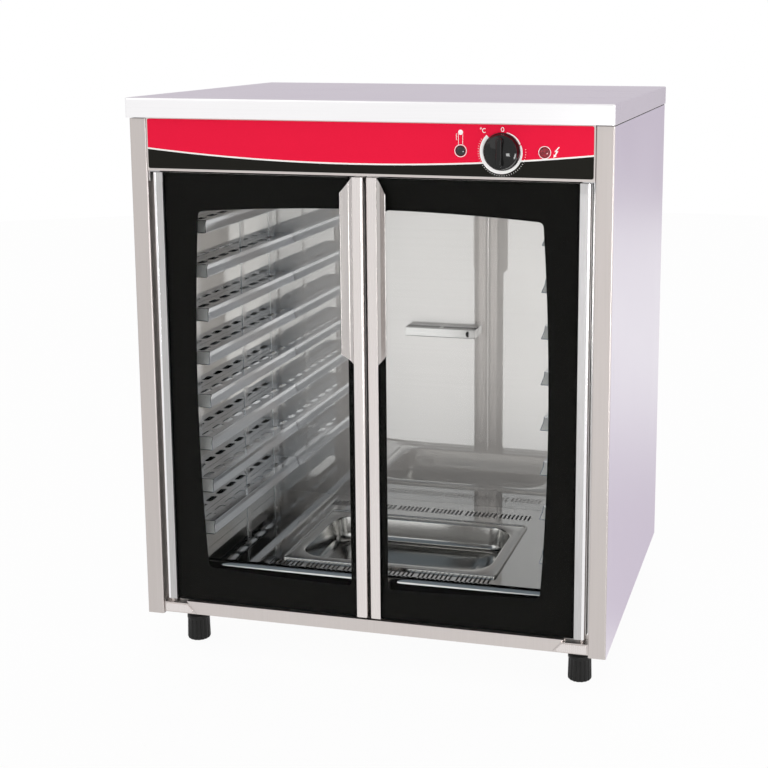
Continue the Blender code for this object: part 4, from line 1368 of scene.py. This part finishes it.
def pan_levels():
    """Inside of the pan from its raised middle outwards, as inset from the rim's edge, drop from the top
    and corner radius: floor, quarter round, wall, shoulder round, rim, bead and outer edge."""
    basin = pan_rim + pan_draft
    flat = basin + pan_floor_round + pan_panel_inset
    levels = [
        (flat + pan_panel_step, pan_depth - pan_panel_rise, pan_panel_corner),
        (flat, pan_depth, pan_panel_corner),
    ]
    inset, rise = quarter_levels(pan_floor_round, pan_floor_steps, 90.0, 0.0)
    radii = pan_corner - pan_draft - inset * pan_floor_corner_share
    levels += zip(basin + inset, pan_depth - pan_floor_round + rise, radii)
    inset, drop = quarter_levels(pan_shoulder, bend_steps, 0.0, 90.0)
    levels += zip(pan_rim - inset, pan_rim_drop + pan_shoulder - drop, pan_corner + inset)
    levels.append((pan_bead_end, pan_rim_drop, pan_outer_corner))
    for a in np.linspace(0.0, math.pi, 2 * bend_steps):
        levels.append((pan_bead * (1.0 + math.cos(a)), pan_bead * (1.0 - math.sin(a)), pan_outer_corner))
    levels.append((0.0, pan_edge_depth, pan_outer_corner))
    return levels


def build_pan():
    """Pressed pan: rounded rectangles out over the inside, then back along the outside one sheet lower.
    Outside, the walls stand out by a sheet all round, and the rim's edge is drawn in by two."""
    low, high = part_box("water_pan")
    width = high.x - low.x
    length = high.y - low.y
    inside = [(width - 2 * i, length - 2 * i, radius, high.z - d) for i, d, radius in pan_levels()]
    edge_width, edge_length, _, edge_height = inside[-1]
    rim_width = edge_width - 2 * (pan_rim - pan_shoulder) + edge_support
    outside = []
    for wide, long, radius, z in reversed(inside):
        if wide > rim_width:
            wide = min(wide, edge_width - 4 * pan_sheet)
            long = min(long, edge_length - 4 * pan_sheet)
            outside.append((wide, long, radius, max(z - pan_sheet, edge_height)))
        else:
            outside.append((wide + 2 * pan_sheet, long + 2 * pan_sheet, radius, z - pan_sheet))
    shell = stacked(inside + outside, middle("water_pan"), "Z", pan_corner_steps)
    add_piece("pan", [shell], "water_pan", "pan_steel", ["water_pan"])


def build_guard():
    """Sensor guard: front plate and floor of a small box, its ends, a row of slots in its top, a dark
    sheet under the slots that paints the shade inside the box, and a dark half-disc on the front that paints
    the shade of a half-round cable hole near its right end."""
    low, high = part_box("sensor_guard")
    foot = high.z - guard_height
    front = low.y - guard_reach
    lip_end = front + guard_lip
    under = high.z - guard_sheet
    path = [(lip_end, high.z), (front, high.z), (front, foot), (high.y, foot)]
    shells = [prism(folded_section(path, guard_sheet, guard_bend), "X", low.x, high.x)]
    for start, end in ((low.x, low.x + guard_sheet), (high.x - guard_sheet, high.x)):
        shells.append(block((start, front + guard_sheet, foot + guard_sheet), (end, high.y, high.z)))
    width = high.x - low.x
    plain = width * guard_plain_share
    group = guard_slots * guard_slot_pitch
    first = low.x + (width - plain - 2 * group) / 2
    second = first + group + plain
    in_group = guard_slot_pitch * (np.arange(guard_slots) + 0.5)
    x = np.r_[first + in_group, second + in_group]
    across = np.full(len(x), (lip_end + high.y) / 2)
    cell = (high.y - lip_end, guard_slot_pitch)
    shells.append(tiles(across, x, cell, (guard_slot_length, guard_slot_width), under, high.z))
    for start, end in ((low.x, first), (first + group, second), (second + group, high.x)):
        shells.append(block((start, lip_end, under), (end, high.y, high.z)))
    # Painted shade: a dark sheet just under the slots stands for the shade inside the guard
    shade_low = (low.x + guard_sheet, lip_end, under - guard_sheet)
    shade_high = (high.x - guard_sheet, high.y - seat, under - seat)
    add_piece("guard_slot_shade", [block(shade_low, shade_high)], "cabinet", "seal_rubber")
    add_piece("guard_cover", shells, "cabinet", "guard_steel", ["sensor_guard"])
    # Painted shade: a dark half-disc on the front plate stands for the shade in the cable hole
    angles = np.radians(np.linspace(90.0, 270.0, ring_steps // 2))
    centre = (high.x - guard_hole_inset, (foot + high.z) / 2)
    outline = ellipse(centre, guard_hole_radius, guard_hole_radius, angles)
    hole = prism(outline, "Y", front - print_lift, front + guard_sheet)
    add_piece("guard_hole_shade", [hole], "cabinet", "seal_rubber")


# Feet and hinge brackets

def build_feet():
    """Ribbed feet: a turned body whose radius ripples with a cosine of the angle below its collar."""
    neck_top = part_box("base_panel")[0].z - seat
    inset, drop = quarter_levels(foot_round, foot_round_steps, 90.0, 0.0)
    for name in ("foot_front_left", "foot_front_right", "foot_rear_left", "foot_rear_right"):
        low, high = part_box(name)
        radius = (high.x - low.x) / 2
        plain = [
            (axis_radius, high.z),
            (foot_stem_radius, high.z),
            (foot_stem_radius, neck_top),
            (foot_neck_radius, neck_top),
            (foot_neck_radius, foot_body_height + foot_round),
            *zip(radius - inset, foot_body_height - foot_round + drop),
            (radius, foot_body_height - foot_collar),
        ]
        ribbed = [
            (radius - foot_rib_depth / 2, foot_body_height - foot_collar - foot_rib_depth),
            (radius, foot_rib_start),
            (radius, foot_round),
        ]
        rounding = list(zip(radius - inset[::-1], foot_round - drop[::-1]))
        profile = plain + ribbed + rounding + [(axis_radius, 0.0)]
        depth = np.zeros(len(profile))
        depth[len(plain) : len(plain) + len(ribbed)] = foot_rib_depth
        depth[len(plain) + len(ribbed) : -2] = foot_rib_depth * foot_half_rib_share

        def ripple(angles, depth=depth):
            return np.minimum(0.0, np.cos(angles * foot_rib_count))[:, None] * depth[None, :]

        shell = turned(profile, middle(name), "Z", foot_rib_count * foot_steps_per_rib, ripple)
        add_piece(name + "_body", [shell], name, "foot_plastic", [name], foot_smooth_degrees)


def build_bracket_plates():
    """Embossed plates with a slanted inner edge on the sill's end brackets."""
    for name, side in sides:
        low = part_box("hinge_bracket_bottom_" + name)[0]
        foot = low.z + plate_margin
        top = low.z + plate_height - plate_margin
        corners = [
            (plate_outer_x, foot),
            (plate_inner_foot_x, foot),
            (plate_inner_top_x, top),
            (plate_outer_x, top),
        ]
        section = rounded(corners, plate_corner) * (side, 1.0)
        shell = prism(section, "Y", low.y - plate_thickness, low.y + seat)
        add_piece("bracket_plate_" + name, [shell], "cabinet", "stile_steel")


build_worktop()
build_sides()
build_screws()
build_control_print()
build_knob()
build_lamp_bezels()
build_door_prints()
build_stiles()
build_wings()
build_profile_covers()
build_rails()
build_uprights()
build_floor()
build_pan()
build_guard()
build_feet()
build_bracket_plates()

for look, solids in kept_solids.items():
    for node in solids:
        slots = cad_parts[node].data.materials
        slots.clear()
        slots.append(looks[look])


# Studio

def white_when_seen(tree, shaded):
    """Mixes in plain white for camera, mirror and see-through rays, keeping a share of the shading. In
    mirrors the white turns to a darker lilac under and behind the cabinet, a painted shadow of the cabinet on
    the floor, and through the panes it shows the dark flag."""
    rays = add_node(tree, "LightPath", {}).outputs
    seen = calculate(tree, "MAXIMUM", rays["Is Camera Ray"], rays["Is Glossy Ray"])
    seen = calculate(tree, "MAXIMUM", seen, rays["Is Transmission Ray"])
    spot = separate(tree, object_position(tree))
    in_mirror = calculate(tree, "SUBTRACT", 1.0, rays["Is Camera Ray"])
    # Painted shadow of the cabinet on the floor, for mirror and see-through rays only
    behind = product(tree, soft_zone(tree, spot["Y"], floor_behind), in_mirror)
    in_front = soft_zone(tree, spot["Y"], floor_in_front)
    to_right = soft_zone(tree, spot["X"], floor_to_right)
    flag = product(tree, in_front, to_right, rays["Is Transmission Ray"])
    color = mix_colors(tree, flag, mix_colors(tree, behind, pure_white, floor_shadow_in_mirrors), flag_color)
    white = add_node(tree, "Emission", {"Color": color}).outputs["Emission"]
    inputs = {"Fac": product(tree, seen, 1.0 - floor_keep_share), 1: shaded, 2: white}
    return add_node(tree, "MixShader", inputs).outputs["Shader"]


def build_studio_floor():
    """A wide pale disc just under the feet."""
    outline = ellipse((0.0, 0.0), floor_radius, floor_radius)
    points = place(outline[:, 0], outline[:, 1], 0.0, "Z")
    mesh = bpy.data.meshes.new("studio_floor")
    mesh.from_pydata(points.tolist(), [], [list(range(ring_steps))])
    item = bpy.data.objects.new("studio_floor", mesh)
    bpy.context.scene.collection.objects.link(item)
    material, tree, shader = new_material("studio_floor")
    feed(tree, shader, floor_values)
    feed(tree, tree.nodes["Material Output"], {"Surface": white_when_seen(tree, shader.outputs["BSDF"])})
    mesh.materials.append(material)


def build_world():
    """White for the camera and an even light for the object. Metal and glass see the white with a soft
    lilac zone behind, and through the panes with a dark flag in front to the right and one overhead."""
    world = bpy.data.worlds.new("studio")
    bpy.context.scene.world = world
    world.use_nodes = True
    tree = world.node_tree
    even = tree.nodes["Background"]
    feed(tree, even, even_values)
    rays = add_node(tree, "LightPath", {}).outputs
    direction = separate(tree, add_node(tree, "TexCoord", {}).outputs["Generated"])
    behind = soft_zone(tree, direction["Y"], far_behind)
    in_front = soft_zone(tree, direction["Y"], far_in_front)
    to_right = soft_zone(tree, direction["X"], far_to_right)
    low_down = soft_zone(tree, direction["Z"], far_low)
    overhead = soft_zone(tree, direction["Z"], far_overhead)
    across = soft_zone(tree, direction["X"], far_across)
    low_flag = product(tree, in_front, to_right, low_down)
    flag = calculate(tree, "MAXIMUM", low_flag, product(tree, overhead, across))
    flag = product(tree, flag, rays["Is Transmission Ray"])
    color = mix_colors(tree, flag, mix_colors(tree, behind, pure_white, far_tint), flag_color)
    mirrored = add_node(tree, "Background", {"Color": color}).outputs["Background"]
    white = add_node(tree, "Background", {"Color": (*pure_white, 1.0)}).outputs["Background"]
    by_mirror = calculate(tree, "MAXIMUM", rays["Is Glossy Ray"], rays["Is Transmission Ray"])
    inputs = {"Fac": by_mirror, 1: even.outputs["Background"], 2: mirrored}
    around = add_node(tree, "MixShader", inputs).outputs["Shader"]
    inputs = {"Fac": rays["Is Camera Ray"], 1: around, 2: white}
    surface = add_node(tree, "MixShader", inputs).outputs["Shader"]
    feed(tree, tree.nodes["World Output"], {"Surface": surface})


def add_lamp(name, location, target, size, watts, color):
    data = bpy.data.lights.new(name, "AREA")
    data.shape = "RECTANGLE"
    data.size, data.size_y = size
    data.energy = watts
    data.color = color
    item = bpy.data.objects.new(name, data)
    bpy.context.scene.collection.objects.link(item)
    item.visible_transmission = False
    item.location = location
    item.rotation_euler = (Vector(target) - Vector(location)).to_track_quat("-Z", "Y").to_euler()


def build_camera():
    data = bpy.data.cameras.new("camera")
    data.lens = camera_lens
    data.sensor_width = camera_sensor
    data.shift_x, data.shift_y = camera_shift
    item = bpy.data.objects.new("camera", data)
    bpy.context.scene.collection.objects.link(item)
    item.location = camera_location
    pitch = math.radians(90.0 - camera_tilt_degrees)
    item.rotation_euler = (pitch, 0.0, math.radians(camera_heading_degrees))
    bpy.context.scene.camera = item


build_studio_floor()
build_world()
build_camera()
for name, values in studio_lamps.items():
    add_lamp(name, *values)
bpy.context.scene.view_settings.view_transform = "Standard"
